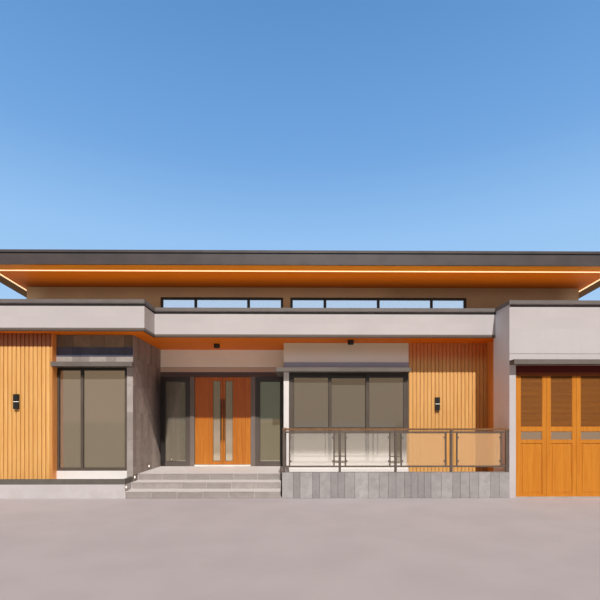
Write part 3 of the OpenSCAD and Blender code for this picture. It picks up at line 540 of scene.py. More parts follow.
def darkerLintelEdge(t, at, paint):
    # the lower edge of the projecting lintel over the door
    return t.mix(t.height(at).between(*zone["lintelEdge"]), paint, tint(208, 192, 172))


def paintedSealReflection(t, at, paint):
    # painted reflection: the seal along the sliding window's foot is painted pale, as the bright reflection
    # over it in the railing glass
    x, y, z = t.axes(at)
    foot = z.below(zone["sliderSeal"]) * y.below(zone["frontBays"]) * x.above(zone["livingLeft"])
    return t.mix(foot, paint, tint(228, 219, 206))


def darkRoofGap(t, at, paint):
    # painted shade in the shadow gap below the capping, which falls with the roof
    y, z = t.axes(at, "YZ")
    level = z + (y - capLow.y) * slope
    under = capHigh.z - capping["height"]
    return t.mix(level.between(under - capping["gap"], under), paint, tint(30, 25, 23))


def windowGlassShadeAndLight(t, at, body, solid):
    # painted shade, light and reflection: the glass is painted deeper on the sliding window and beside the
    # door, as their shade, and paler below the middle beside the door, as sunlight; the door's strips are
    # painted paler there too, and the sliding window is painted pale and denser at its foot, as the bright
    # reflection there
    x, y, z = t.axes(at)
    middle = z.ease(*zone["glassMiddle"])
    front = y.below(zone["frontHalf"])
    slider = x.above(zone["livingLeft"])
    upperLights = t.mix(x.above(zone["rightSideLight"]), tint(160, 160, 148), tint(136, 154, 148))
    sideLights = t.mix(middle, tint(190, 182, 162), upperLights)
    lowerStrips = t.mix(z.ease(*zone["stripFoot"]), tint(201, 184, 159), tint(226, 207, 185))
    strips = t.mix(middle, lowerStrips, tint(158, 154, 142))
    fromMiddle = (x - zone["doorMiddle"]).absolute()
    entrance = t.mix(fromMiddle.below(zone["doorStrips"]), sideLights, strips)
    film = t.mix(slider, entrance, tint(168, 160, 148))
    body = t.mix(x.above(zone["entranceLeft"]) * front * z.below(zone["highWindows"]), body, film)
    foot = z.ease(*zone["sliderFoot"], 1.0, 0.0) * slider * x.below(zone["livingRight"]) * front
    return t.mix(foot, body, tint(240, 232, 220)), solid + foot * 0.6


def railGlassPaintedTones(t, at, body, solid):
    # the glass is painted warmer and denser in the two bays on the right, and paler and denser at the foot of
    # the others, the foot as painted reflection of the ground
    x, z = t.axes(at, "XZ")
    right = x.above(zone["rightRailBays"])
    foot = z.ease(*zone["railFoot"], 1.0, 0.0) * x.below(zone["rightRailBays"])
    body = t.mix(foot, t.mix(right, body, tint(226, 182, 132)), tint(238, 231, 220))
    return body, solid + right * 0.34 + foot * 0.38


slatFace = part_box("slat_cladding")[0].y
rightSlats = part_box("slider_frame")[1].x  # where the slats on the right start

whitePlaster = plasterFinish("white plaster", tint(202, 196, 195), soil=0.12)
# painted shade: a dark strip is painted into the shadow gap under the coping, and the side towards the
# terrace takes the painted side light
parapetPlaster = plasterFinish("parapet plaster", tint(201, 194, 192), over=paintedSideLight,
                               band=(*zone["parapetGap"], tint(46, 40, 37)))
pierPlaster = plasterFinish("pier plaster", tint(236, 231, 226), soil=0.15, over=paintedCoolLight)
# painted light: a paler copy of the white plaster for the living bay's head wall, which lies in shade
bayPlaster = plasterFinish("living bay plaster", tint(226, 221, 210), soil=0.15, over=paintedCoolLight)
# painted light: a paler, warmer copy of the plaster for the wall over the door, as the light thrown back into
# the recess
lintelPlaster = plasterFinish("plaster over the door", tint(254, 254, 236), over=darkerLintelEdge,
                              band=(*zone["lintel"], tint(98, 86, 86)))
beigePlaster = plasterFinish("beige plaster", tint(203, 178, 150))
upperPlaster = plasterFinish("upper wall plaster", tint(203, 178, 150), over=paintedEavesShade)
garagePlaster = plasterFinish("garage pier plaster", tint(202, 196, 195), soil=0.12, over=paintedSideLight)
lowRoof = roofFinish("flat roof", tint(201, 194, 192), tint(74, 72, 70))
slatTimber = timberFinish("slat timber", tint(242, 190, 116), tint(228, 168, 94), pitch=slat["pitch"],
                          start=slat["left"], spread=0.14,
                          restart=(0.0, (rightSlats - slat["left"]) % slat["pitch"]),
                          grooves=(slatFace, slat["nextFace"], slat["depth"], slat["lip"]), over=paintedSlatShade)
sideTimber = timberFinish("side cladding", tint(255, 176, 92), tint(244, 150, 68), pitch=0.12, across=1,
                          joints=0.006, spread=0.2)
doorTimber = timberFinish("door timber", tint(205, 130, 40), tint(183, 102, 22), pitch=0.1229, start=0.0251,
                          gloss=0.35, spread=0.3, mirror=zone["doorMiddle"], over=paintedLeafShade)
garageTimber = timberFinish("garage timber", tint(215, 141, 48), tint(201, 122, 36), pitch=0.0829,
                            start=4.575, gloss=0.5, spread=0.12, stained=(zone["stain"], tint(84, 8, 3)),
                            coat=0.0, over=paintedTopRailShade)
# painted shade: the louvre timber is a darker copy of the garage timber, as the shade between the blades
louvreTimber = timberFinish("louvre timber", tint(150, 92, 28), tint(128, 74, 18), pitch=0.0265, start=1.551,
                            along=0, across=2, gloss=0.6, spread=0.2, coat=0.0, over=paintedBladeShade)
soffitTimber = timberFinish("soffit timber", tint(255, 156, 34), tint(246, 132, 22), pitch=0.14, along=0,
                            across=1, joints=0.004, gloss=0.5, spread=0.12, coat=0.0, over=paintedSoffitShade)
hoodMetal = metalFinish("hood metal", tint(110, 102, 95), over=paintedUpstandShade)
copingMetal = metalFinish("coping metal", tint(113, 105, 100), over=darkDripEdge)
capMetal = metalFinish("roof metal", tint(75, 65, 61), dust=0.12, over=darkRoofGap)
beadMetal = metalFinish("plaster bead", tint(166, 155, 150), dust=0.1)
darkFrame = metalFinish("window frame metal", tint(90, 79, 69), rough=0.38, dust=0.12, over=frameShadeAndReflection)
pullMetal = metalFinish("pull bar metal", tint(44, 36, 32), rough=0.35, dust=0.05)
greyFrame = metalFinish("entrance frame metal", tint(90, 80, 73), rough=0.4, dust=0.12, over=paintedSashShade)
postMetal = metalFinish("door post metal", tint(120, 108, 100), rough=0.4, dust=0.12)
bronzeMetal = metalFinish("railing metal", tint(96, 84, 76), rough=0.4, dust=0.15, over=oiledHandrail)
blackMetal = metalFinish("light housing", tint(24, 24, 24), rough=0.4, dust=0.1)
rubberBlack = metalFinish("window gasket", tint(28, 26, 25), rough=0.7, dust=0.2, over=paintedSealReflection)
greyStone = stoneFinish("terrace stone", tint(143, 138, 137), tint(182, 177, 175), tint(202, 196, 192))
brownStone = stoneFinish("recess stone", tint(145, 135, 127), tint(182, 172, 164), tint(192, 183, 175),
                         over=paintedRecessShade)
darkStone = stoneFinish("planter coping stone", tint(92, 87, 80), tint(112, 106, 98), tint(132, 126, 118),
                        inSlabs=False)
stepStone = stoneFinish("step stone", tint(149, 141, 136), tint(173, 164, 158), tint(188, 180, 174),
                        rough=0.6, top=tint(224, 219, 215))
# painted shade: darker copies of the recess stone for the two upper courses over the left window, in the
# canopy's shade; the lower of them is painted blue as the bluish shade there
blueShadeStone = stoneFinish("blue shaded stone band", tint(64, 68, 86), tint(78, 82, 100), tint(90, 92, 110))
canopyShadeStone = stoneFinish("stone under the canopy", tint(106, 90, 72), tint(140, 122, 96), tint(150, 132, 106))
paleStone = stoneFinish("threshold stone", tint(232, 226, 214), tint(244, 240, 230), tint(250, 247, 240),
                        rough=0.5, inSlabs=False)
kerbStone = stoneFinish("base stone", tint(216, 208, 202), tint(236, 230, 224), tint(240, 236, 230),
                        inSlabs=False)
terraceTiles = tileFinish("terrace tiles", tint(137, 130, 125), tint(156, 148, 143), size=0.6, joint=0.004,
                          origin=(-0.518, -6.145), mortar=(-0.517, -6.144, tint(62, 57, 54)))
floorScreed = tileFinish("floor screed", tint(168, 162, 154), tint(186, 180, 172), size=0.9, joint=0.004)
windowGlass = glassFinish("window glass", tint(195, 184, 168), seeThrough=0.12, metallic=0.72,
                          high=tint(236, 244, 252), film=windowGlassShadeAndLight)
railGlass = glassFinish("railing glass", tint(226, 218, 204), seeThrough=0.85, metallic=0.0, film=railGlassPaintedTones)
warmGlow = glowFinish("light strip", tint(255, 222, 176), 1.0)
whiteGlow = glowFinish("lamp lens", tint(255, 246, 228), 1.6)

dress(whitePlaster, "planter_wall", "slat_backing_walls", "garage_head_wall", "low_side_walls")
dress(garagePlaster, "garage_pier")
dress(parapetPlaster, "lower_parapet")
dress(bayPlaster, "window_head_walls")
dress(lintelPlaster, "door_head_wall")
dress(upperPlaster, "upper_wall_base", "upper_wall_piers", "upper_wall_head")
dress(beigePlaster, "side_walls", "back_wall")
dress(lowRoof, "left_canopy", "entrance_canopy", "garage_roof")
dress(pierPlaster, "living_pier", "window_sill_walls")
dress(slatTimber, "slat_cladding")
dress(sideTimber, "garage_side_wall")
dress(doorTimber, "door_leaf_left", "door_leaf_right")
dress(garageTimber, "garage_frame", "garage_doors")
dress(soffitTimber, "soffit_boards")
dress(hoodMetal, "window_hoods")
dress(copingMetal, "canopy_flashings")
dress(capMetal, "roof_deck", "roof_capping")
dress(darkFrame, "window_frames", "slider_frame", "fixed_sashes", "sliding_leaf")
dress(pullMetal, "door_pull_left", "door_pull_right")
dress(greyFrame, "entrance_frame")
dress(bronzeMetal, "terrace_railing", "railing_return")
dress(blackMetal, "outdoor_lights")
dress(terraceTiles, "terrace_base")
dress(kerbStone, "entrance_landing", "step_lower", "step_upper")
dress(brownStone, "stone_side_wall")
dress(darkStone, "planter_coping")
dress(paleStone, "door_threshold")
dress(floorScreed, "house_floor", "garage_floor")
dress(windowGlass, "window_glass", "door_glass_left", "door_glass_right", "sliding_leaf_glass",
      "garage_panes")
dress(railGlass, "railing_glass")
nodes["railing_glass"].visible_glossy = False  # too clear to show in the glass behind it
dress(warmGlow, "soffit_light")
print("finishes assigned")


# helpers for pieces

def finishPiece(piece, body):
    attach(piece, body)
    return piece


def newPiece(name, mesh):
    piece = bpy.data.objects.new(name, mesh)
    bpy.context.scene.collection.objects.link(piece)
    return piece


def settle(piece):
    # turn a piece with live modifiers into a plain mesh
    result = bpy.data.meshes.new_from_object(piece.evaluated_get(bpy.context.evaluated_depsgraph_get()))
    piece.modifiers.clear()
    piece.data = result
    return piece


def addBevel(piece, width):
    bevel = piece.modifiers.new("edge", "BEVEL")
    bevel.width, bevel.segments, bevel.limit_method = width, 1, "ANGLE"


def boxPiece(name, boxes, material, bevel, body="root"):
    # several boxes in one mesh, each given by its lowest and highest corner
    mesh = bpy.data.meshes.new(name)
    build = bmesh.new()
    for low, high in boxes:
        middle = [(a + b) / 2 for a, b in zip(low, high)]
        size = [b - a for a, b in zip(low, high)]
        place = Matrix.Translation(middle) @ Matrix.Diagonal((*size, 1))
        bmesh.ops.create_cube(build, size=1.0, matrix=place)
    build.to_mesh(mesh)
    build.free()
    mesh.materials.append(material)
    piece = newPiece(name, mesh)
    addBevel(piece, bevel)
    return finishPiece(settle(piece), body)


def looseBoxes(node):
    # the box of each separate solid in a CAD node
    build = bmesh.new()
    build.from_mesh(nodes[node].data)
    bmesh.ops.remove_doubles(build, verts=build.verts, dist=1e-5)
    left, boxes = set(build.verts), []
    while left:
        group, todo = set(), [left.pop()]
        while todo:
            vert = todo.pop()
            group.add(vert)
            for edge in vert.link_edges:
                other = edge.other_vert(vert)
                if other in left:
                    left.remove(other)
                    todo.append(other)
        boxes.append(tuple(Vector(pick(v.co[i] for v in group) for i in range(3)) for pick in (min, max)))
    build.free()
    return sorted(boxes, key=lambda b: tuple(round(c, 4) for c in b[0]))


def geometryTree(name, sockets):
    # empty Geometry Nodes tree with named inputs; returns the helper and its input wires
    tree = bpy.data.node_groups.new(name, "GeometryNodeTree")
    tree.interface.new_socket("Geometry", in_out="INPUT", socket_type="NodeSocketGeometry")
    tree.interface.new_socket("Geometry", in_out="OUTPUT", socket_type="NodeSocketGeometry")
    for label, kind in sockets:
        tree.interface.new_socket(label, in_out="INPUT", socket_type="NodeSocket" + kind)
    helper = Tree(tree)
    entry = tree.nodes.new("NodeGroupInput")
    wires = {s.name: Wire(helper, s) for s in entry.outputs if s.name}
    return helper, wires


def closeTree(helper, geometry, material):
    real = helper.add("GeometryNodeRealizeInstances", None, {"Geometry": geometry})
    done = helper.add("GeometryNodeSetMaterial", None, {"Geometry": real, "Material": material})
    ending = helper.tree.nodes.new("NodeGroupOutput")
    helper.tree.links.new(done.socket, ending.inputs[0])
    return helper.tree


def toneEach(t, instances, seed):
    # a random tone for each separate box, kept on its faces for the finish
    flat = t.add("GeometryNodeRealizeInstances", None, {"Geometry": instances})
    island = t.add("GeometryNodeInputMeshIsland")
    tone = t.add("FunctionNodeRandomValue", {"data_type": "FLOAT"}, {"ID": island, "Seed": seed}, out=1)
    return t.add("GeometryNodeStoreNamedAttribute", {"data_type": "FLOAT", "domain": "FACE"},
                 {"Geometry": flat, "Name": "tone", "Value": tone})


def arrayTree():
    # boxes on a grid of two steps, all turned the same way
    t, g = geometryTree("boxArray", [
        ("Start", "Vector"), ("Count A", "Int"), ("Step A", "Vector"), ("Count B", "Int"),
        ("Step B", "Vector"), ("Size", "Vector"), ("Turn", "Vector"), ("Seed", "Int"),
        ("Finish", "Material")])
    rowA = t.add("GeometryNodeMeshLine", {"mode": "OFFSET"}, {
        "Count": g["Count A"], "Start Location": g["Start"], "Offset": g["Step A"]})
    rowB = t.add("GeometryNodeMeshLine", {"mode": "OFFSET"}, {"Count": g["Count B"], "Offset": g["Step B"]})
    cube = t.add("GeometryNodeMeshCube", None, {"Size": g["Size"]})
    inner = t.add("GeometryNodeInstanceOnPoints", None, {
        "Points": rowB, "Instance": cube, "Rotation": g["Turn"]})
    whole = t.add("GeometryNodeInstanceOnPoints", None, {"Points": rowA, "Instance": inner})
    return closeTree(t, toneEach(t, whole, g["Seed"]), g["Finish"])


def rowTree():
    # slabs of random width that fill a length exactly, with open joints
    t, g = geometryTree("slabRow", [
        ("Start", "Vector"), ("Direction", "Vector"), ("Length", "Float"), ("Count", "Int"),
        ("Spread", "Float"), ("Joint", "Float"), ("Height", "Float"), ("Depth", "Float"), ("Seed", "Int"),
        ("Finish", "Material")])
    points = t.add("GeometryNodeMeshLine", {"mode": "OFFSET"}, {"Count": g["Count"], "Offset": (0.01, 0, 0)})
    share = t.add("FunctionNodeRandomValue", {"data_type": "FLOAT"}, {
        2: 1 - g["Spread"], 3: 1 + g["Spread"], "Seed": g["Seed"]}, out=1)
    before = t.add("GeometryNodeAccumulateField", {"data_type": "FLOAT"}, {0: share}, out=1)
    total = t.add("GeometryNodeAccumulateField", {"data_type": "FLOAT"}, {0: share}, out=2)
    width = share / total * g["Length"]
    middle = before / total * g["Length"] + width * 0.5
    step = t.add("ShaderNodeVectorMath", {"operation": "SCALE"}, {0: g["Direction"], 3: middle})
    at = t.add("ShaderNodeVectorMath", {"operation": "ADD"}, {0: g["Start"], 1: step})
    laid = t.add("GeometryNodeSetPosition", None, {"Geometry": points, "Position": at})
    turn = t.join(0.0, 0.0, t.axes(g["Direction"], "Y")[0] * (math.pi / 2))
    cube = t.add("GeometryNodeMeshCube", None, {"Size": (1, 1, 1)})
    size = t.join(width - g["Joint"], g["Depth"], g["Height"])
    whole = t.add("GeometryNodeInstanceOnPoints", None, {
        "Points": laid, "Instance": cube, "Rotation": turn, "Scale": size})
    return closeTree(t, toneEach(t, whole, g["Seed"]), g["Finish"])


def studTree():
    # a small box and a round head on every point of the piece's own mesh
    t, g = geometryTree("studs", [
        ("Size", "Vector"), ("Radius", "Float"), ("Depth", "Float"), ("Turn", "Vector"),
        ("Finish", "Material")])
    cube = t.add("GeometryNodeMeshCube", None, {"Size": g["Size"]})
    head = t.add("GeometryNodeMeshCylinder", None, {
        "Vertices": 20, "Radius": g["Radius"], "Depth": g["Depth"]})
    both = t.tree.nodes.new("GeometryNodeJoinGeometry")
    for part in (head, cube):
        t.tree.links.new(part.socket, both.inputs[0])
    whole = t.add("GeometryNodeInstanceOnPoints", None, {
        "Points": g["Geometry"], "Instance": Wire(t, both.outputs[0]), "Rotation": g["Turn"]})
    return closeTree(t, whole, g["Finish"])


def stripTree():
    # a rounded strip along the piece's own chain of points
    t, g = geometryTree("roundedStrip", [
        ("Width", "Float"), ("Height", "Float"), ("Sides", "Int"), ("Finish", "Material")])
    path = t.add("GeometryNodeMeshToCurve", None, {"Mesh": g["Geometry"]})
    level = t.add("GeometryNodeSetCurveNormal", {"mode": "Z_UP"}, {"Curve": path})
    ring = t.add("GeometryNodeCurvePrimitiveCircle", None, {"Resolution": g["Sides"], "Radius": 0.5})
    profile = t.add("GeometryNodeTransform", None, {
        "Geometry": ring, "Scale": t.join(g["Width"], g["Height"], 1.0)})
    tube = t.add("GeometryNodeCurveToMesh", None, {
        "Curve": level, "Profile Curve": profile, "Fill Caps": True})
    return closeTree(t, tube, g["Finish"])


boxArray, slabRow, studs, roundedStrip = arrayTree(), rowTree(), studTree(), stripTree()


def growMesh(name, tree, values, bevel=0.0, points=(), chain=False):
    # a mesh made by one of the trees, on the given points where the tree needs them
    mesh = bpy.data.meshes.new(name)
    edges = [(i, i + 1) for i in range(len(points) - 1)] if chain else []
    mesh.from_pydata([tuple(p) for p in points], edges, [])
    piece = newPiece(name, mesh)
    maker = piece.modifiers.new("make", "NODES")
    maker.node_group = tree
    for item in tree.interface.items_tree:
        if item.in_out == "INPUT" and item.name in values:
            maker[item.identifier] = values[item.name]
    if bevel:
        addBevel(piece, bevel)
    return settle(piece)


def boxRows(name, start, count, pitch, size, material, seed, rows=1, rowStep=(0, 0, 0), turn=(0, 0, 0),
            bevel=0.0):
    # boxes in one row along X, or in several rows
    return growMesh(name, boxArray, {
        "Start": start, "Count A": count, "Step A": (pitch, 0, 0), "Count B": rows, "Step B": rowStep,
        "Size": size, "Turn": turn, "Seed": seed, "Finish": material}, bevel=bevel)


def joinPieces(name, parts, body):
    # one object for one body, from several grown meshes
    build = bmesh.new()
    materials = []
    for part in parts:
        start = len(build.faces)
        build.from_mesh(part.data)
        build.faces.ensure_lookup_table()
        for material in part.data.materials:
            if material not in materials:
                materials.append(material)
        for face in build.faces[start:]:
            face.material_index = materials.index(part.data.materials[face.material_index])
    mesh = bpy.data.meshes.new(name)
    build.to_mesh(mesh)
    build.free()
    for material in materials:
        mesh.materials.append(material)
    for part in parts:
        bpy.data.objects.remove(part)
    return finishPiece(newPiece(name, mesh), body)


# stone and tiles

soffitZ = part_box("soffit_boards")[0].z
thresholdLow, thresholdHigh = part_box("door_threshold")
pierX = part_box("garage_pier")[0].x
landingLow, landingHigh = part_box("entrance_landing")


def slabCourse(start, direction, length, low, high, style, material, seed):
    # slabs between two heights, whose middle line starts at start and runs along direction
    count = max(1, round(length / style["slab"]))
    return growMesh("course", slabRow, {
        "Start": (*start, (low + high) / 2), "Direction": direction, "Length": length, "Count": count,
        "Spread": style["spread"], "Joint": style["joint"], "Height": high - low - style["joint"],
        "Depth": style["thickness"], "Seed": style["seed"] + seed, "Finish": material}, bevel=style["edge"])


def slabCourses(start, direction, length, levels, style, stones, seed=0):
    # courses one above the other between the levels, each with its own stone
    return [slabCourse(start, direction, length, low, high, style, stone, seed + i)
            for i, (low, high, stone) in enumerate(zip(levels, levels[1:], stones))]


terraceStone = {"thickness": 0.012, "joint": 0.005, "slab": 0.2, "spread": 0.42, "edge": 0.0015, "seed": 4,
                "sideSeed": 3}
terraceLow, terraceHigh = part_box("terrace_base")
thick = terraceStone["thickness"]
joinPieces("terraceSlabs", [
    slabCourse((terraceLow.x - thick, terraceLow.y - thick / 2), (1, 0, 0), pierX - terraceLow.x + thick,
               0.0, terraceHigh.z, terraceStone, greyStone, 0),
    slabCourse((terraceLow.x - thick / 2, terraceLow.y), (0, 1, 0), terraceHigh.y - terraceLow.y,
               0.0, terraceHigh.z, terraceStone, greyStone, terraceStone["sideSeed"])], "root")

# the stone wall beside the entrance, its end face and the courses over the left window, whose two upper
# courses are in stone painted with shade
recessStone = {"thickness": 0.008, "joint": 0.003, "slab": 0.21, "spread": 0.3, "edge": 0.001, "seed": 21,
               "levels": [0.64, 1.255, 1.875, 2.495], "topLevel": 3.11, "endSeed": 40, "foot": 0.004,
               "top": 0.002}
overWindow = {**recessStone, "slab": 0.27, "spread": 0.45, "seed": 77, "levels": [3.001, 3.14, 3.355]}
stoneLow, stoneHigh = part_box("stone_side_wall")
returnX = looseBoxes("window_sill_walls")[0][1].x  # where the window ends and the wall's end face starts
thick = recessStone["thickness"]
stoneTop = soffitZ - recessStone["top"]
sideLevels = [landingHigh.z + recessStone["foot"], *recessStone["levels"], recessStone["topLevel"], stoneTop]
endLevels = [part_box("planter_coping")[1].z, *recessStone["levels"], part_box("window_head_walls")[0].z]
recessSlabs = slabCourses((stoneHigh.x + thick / 2, stoneLow.y), (0, 1, 0),
                          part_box("door_head_wall")[0].y - stoneLow.y, sideLevels, recessStone,
                          [brownStone] * (len(sideLevels) - 1))
recessSlabs += slabCourses((returnX, stoneLow.y - thick / 2), (1, 0, 0), stoneHigh.x - returnX + thick,
                           endLevels, {**recessStone, "slab": stoneHigh.x - returnX},
                           [brownStone] * (len(endLevels) - 1), recessStone["endSeed"])
recessSlabs += slabCourses((stoneLow.x, stoneLow.y - thick / 2), (1, 0, 0), stoneHigh.x - stoneLow.x + thick,
                           [*overWindow["levels"], stoneTop], overWindow, (brownStone, blueShadeStone, canopyShadeStone))
joinPieces("recessSlabs", recessSlabs, "root")

stepTiles = {"length": 0.6, "joint": 0.006, "nosing": 0.03, "overhang": 0.014, "riser": 0.008, "rise": 0.003,
             "edge": 0.0025, "seed": 60, "besideStone": 0.009, "beforeDoor": 0.005, "riserJoint": 0.002,
             "riserEdge": 0.001, "riserSeed": 10, "landingRows": 3}
stepLow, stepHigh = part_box("step_lower")
upperLow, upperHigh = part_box("step_upper")
flights = [(stepLow.y, stepHigh.y, stepHigh.z, 0.0, 1), (upperLow.y, upperHigh.y, upperHigh.z, stepHigh.z, 1),
           (landingLow.y, thresholdLow.y - stepTiles["beforeDoor"], landingHigh.z, upperHigh.z,
            stepTiles["landingRows"])]
stepsX = stepLow.x + stepTiles["besideStone"]
count = round((stepHigh.x - stepsX) / stepTiles["length"])
pitch = (stepHigh.x - stepsX) / count
tileLength = pitch - stepTiles["joint"]
treads = []
for i, (front, back, top, foot, rows) in enumerate(flights):
    depth = (back - front + stepTiles["overhang"]) / rows
    nosingFoot = top + stepTiles["rise"] - stepTiles["nosing"]
    treadStart = (stepsX + pitch / 2, front - stepTiles["overhang"] + depth / 2,
                  nosingFoot + stepTiles["nosing"] / 2)
    treads.append(boxRows("tread", treadStart, count, pitch,
                          (tileLength, depth - stepTiles["joint"], stepTiles["nosing"]), stepStone,
                          stepTiles["seed"] + i, rows, (0, depth, 0), bevel=stepTiles["edge"]))
    riserHeight = nosingFoot - foot
    riserStart = (stepsX + pitch / 2, front - stepTiles["riser"] / 2, foot + riserHeight / 2)
    treads.append(boxRows("riser", riserStart, count, pitch,
                          (tileLength, stepTiles["riser"], riserHeight - stepTiles["riserJoint"]), stepStone,
                          stepTiles["seed"] + stepTiles["riserSeed"] + i, bevel=stepTiles["riserEdge"]))
joinPieces("stepTiles", treads, "root")
print("stone and step tiles made")


# louvres, raised fields and beads of the garage leaves

garageDoor = {"leaves": 4, "louvrePitch": 0.0265, "louvreFoot": 0.02, "bladeDepth": 0.024,
              "bladeThickness": 0.004, "bladeTilt": 68, "bladeInset": 0.0075, "bladePlay": 0.002,
              "louvreSeed": 3, "field": 0.045, "raise": 0.007, "fieldInset": 0.014, "fieldEdge": 0.006,
              "fieldSeed": 5, "bottomRail": 0.05, "lockRail": 0.064, "midRail": 0.092, "topRail": 0.04,
              "bead": 0.012, "panelBead": 0.0096, "paneBeadDepth": 0.009, "panelBeadDepth": 0.012,
              "panelBeadInset": 0.002, "beadEdge": 0.003}
leafLow, leafHigh = looseBoxes("garage_doors")[0]
paneBoxes = looseBoxes("garage_panes")
paneLow, paneHigh = paneBoxes[0]
louvreZ = (paneHigh.z + garageDoor["midRail"], leafHigh.z - garageDoor["topRail"])
panelZ = (leafLow.z + garageDoor["bottomRail"], paneLow.z - garageDoor["lockRail"])
lightWidth = paneHigh.x - paneLow.x
leafPitch = paneBoxes[1][0].x - paneLow.x
middleX = (paneLow.x + paneHigh.x) / 2
firstBlade = louvreZ[0] + garageDoor["louvreFoot"]
bladeSize = (lightWidth - garageDoor["bladePlay"], garageDoor["bladeDepth"], garageDoor["bladeThickness"])
louvres = boxRows("louvres", (middleX, leafLow.y + garageDoor["bladeInset"], firstBlade),
                  garageDoor["leaves"], leafPitch, bladeSize, louvreTimber, garageDoor["louvreSeed"],
                  rows=int((louvreZ[1] - firstBlade) / garageDoor["louvrePitch"]),
                  rowStep=(0, 0, garageDoor["louvrePitch"]),
                  turn=(math.radians(garageDoor["bladeTilt"]), 0, 0))
fieldY = leafLow.y + garageDoor["fieldInset"] - garageDoor["raise"] / 2
fieldSize = (lightWidth - 2 * garageDoor["field"], garageDoor["raise"],
             panelZ[1] - panelZ[0] - 2 * garageDoor["field"])
fields = boxRows("fields", (middleX, fieldY, (panelZ[0] + panelZ[1]) / 2), garageDoor["leaves"], leafPitch,
                 fieldSize, garageTimber, garageDoor["fieldSeed"], bevel=garageDoor["fieldEdge"])
joinPieces("garageLouvresAndFields", [louvres, fields], "root")


def beadBoxes(low, high, face, width, depth, axis=1):
    # four strips round a rectangle, lying against a face across the given axis
    across = 1 - axis
    strips = []
    for a, b, z0, z1 in ((low[across], high[across], low[2], low[2] + width),
                         (low[across], high[across], high[2] - width, high[2]),
                         (low[across], low[across] + width, low[2] + width, high[2] - width),
                         (high[across] - width, high[across], low[2] + width, high[2] - width)):
        first, last = [0, 0, z0], [0, 0, z1]
        first[across], last[across] = a, b
        first[axis], last[axis] = min(face, face + depth), max(face, face + depth)
        strips.append((first, last))
    return strips


beads = []
for low, high in paneBoxes:
    beads += beadBoxes(low, high, low.y, garageDoor["bead"], -garageDoor["paneBeadDepth"])
    for z0, z1 in (panelZ, louvreZ):
        beads += beadBoxes((low.x, 0, z0), (high.x, 0, z1), leafLow.y + garageDoor["panelBeadInset"],
                           garageDoor["panelBead"], garageDoor["panelBeadDepth"])
boxPiece("garageBeads", beads, garageTimber, garageDoor["beadEdge"])
print("garage door details made")


# window gaskets and sills

gasket = {"width": 0.009, "depth": 0.006, "edge": 0.0015}
for name, node, body in (("windowGaskets", "window_glass", "root"),
                         ("slidingLeafGasket", "sliding_leaf_glass", "slider"),
                         ("leftDoorGasket", "door_glass_left", "door_left"),
                         ("rightDoorGasket", "door_glass_right", "door_right")):
    strips = []
    for low, high in looseBoxes(node):
        axis = 1 if high.y - low.y < high.x - low.x else 0
        strips += beadBoxes(low, high, low[axis], gasket["width"], -gasket["depth"], axis)
        strips += beadBoxes(low, high, high[axis], gasket["width"], gasket["depth"], axis)
    boxPiece(name, strips, rubberBlack, gasket["edge"], body)

sill = {"drop": 0.03, "gap": 0.002, "out": 0.045, "past": 0.03, "edge": 0.006, "wallDepth": 0.2}
wallLow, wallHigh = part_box("side_walls")
backLow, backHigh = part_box("back_wall")
sills = []
for low, high in looseBoxes("window_frames"):
    y0, y1 = low.y - sill["past"], high.y + sill["past"]
    z0, z1 = low.z - sill["drop"], low.z - sill["gap"]
    if high.x < wallLow.x + sill["wallDepth"]:
        sills.append(((wallLow.x - sill["out"], y0, z0), (wallLow.x, y1, z1)))
    elif low.x > wallHigh.x - sill["wallDepth"]:
        sills.append(((wallHigh.x, y0, z0), (wallHigh.x + sill["out"], y1, z1)))
    elif low.y > backLow.y:
        sills.append(((low.x - sill["past"], backHigh.y, z0),
                      (high.x + sill["past"], backHigh.y + sill["out"], z1)))
boxPiece("windowSills", sills, hoodMetal, sill["edge"])
print("gaskets and sills made")


# railing fittings

railing = {"clamp": (0.03, 0.032, 0.03), "headRadius": 0.007, "headDepth": 0.038, "inset": 0.1, "grip": 0.012,
           "edge": 0.002}
clampPoints, sidePoints = [], []
for low, high in looseBoxes("railing_glass"):
    middle = (low + high) / 2
    for z in (low.z + railing["inset"], high.z - railing["inset"]):
        if high.x - low.x > high.y - low.y:
            clampPoints += [(low.x + railing["grip"], middle.y, z), (high.x - railing["grip"], middle.y, z)]
        else:
            sidePoints += [(middle.x, low.y + railing["grip"], z), (middle.x, high.y - railing["grip"], z)]
clamps = [growMesh("clamps", studs, {"Size": railing["clamp"], "Radius": railing["headRadius"],
                                     "Depth": railing["headDepth"], "Turn": (math.pi / 2, 0, turn),
                                     "Finish": bronzeMetal}, bevel=railing["edge"], points=points)
          for points, turn in ((clampPoints, 0.0), (sidePoints, math.pi / 2))]
joinPieces("glassClamps", clamps, "root")
print("railing fittings made")


# standing seams of the roof

roof = {"seamPitch": 0.505, "seamHeight": 0.025, "seamWidth": 0.012, "frontGap": 0.36, "backGap": 0.03,
        "sideGap": 0.2, "sunk": 0.002, "edge": 0.002, "seed": 9}
run = capHigh.y - capLow.y - roof["frontGap"] - roof["backGap"]
angle = -math.atan(slope)
middleY = capLow.y + roof["frontGap"] + run / 2
middleZ = capHigh.z - slope * (middleY - capLow.y) + roof["seamHeight"] / 2 - roof["sunk"]
seamCount = int((capHigh.x - capLow.x - roof["sideGap"]) / roof["seamPitch"]) + 1
firstX = (capLow.x + capHigh.x) / 2 - (seamCount - 1) * roof["seamPitch"] / 2
seams = boxRows("seams", (firstX, middleY, middleZ), seamCount, roof["seamPitch"],
                (roof["seamWidth"], run / math.cos(angle), roof["seamHeight"]), capMetal, roof["seed"],
                turn=(angle, 0, 0), bevel=roof["edge"])
joinPieces("roofSeams", [seams], "root")
print("roof seams made")


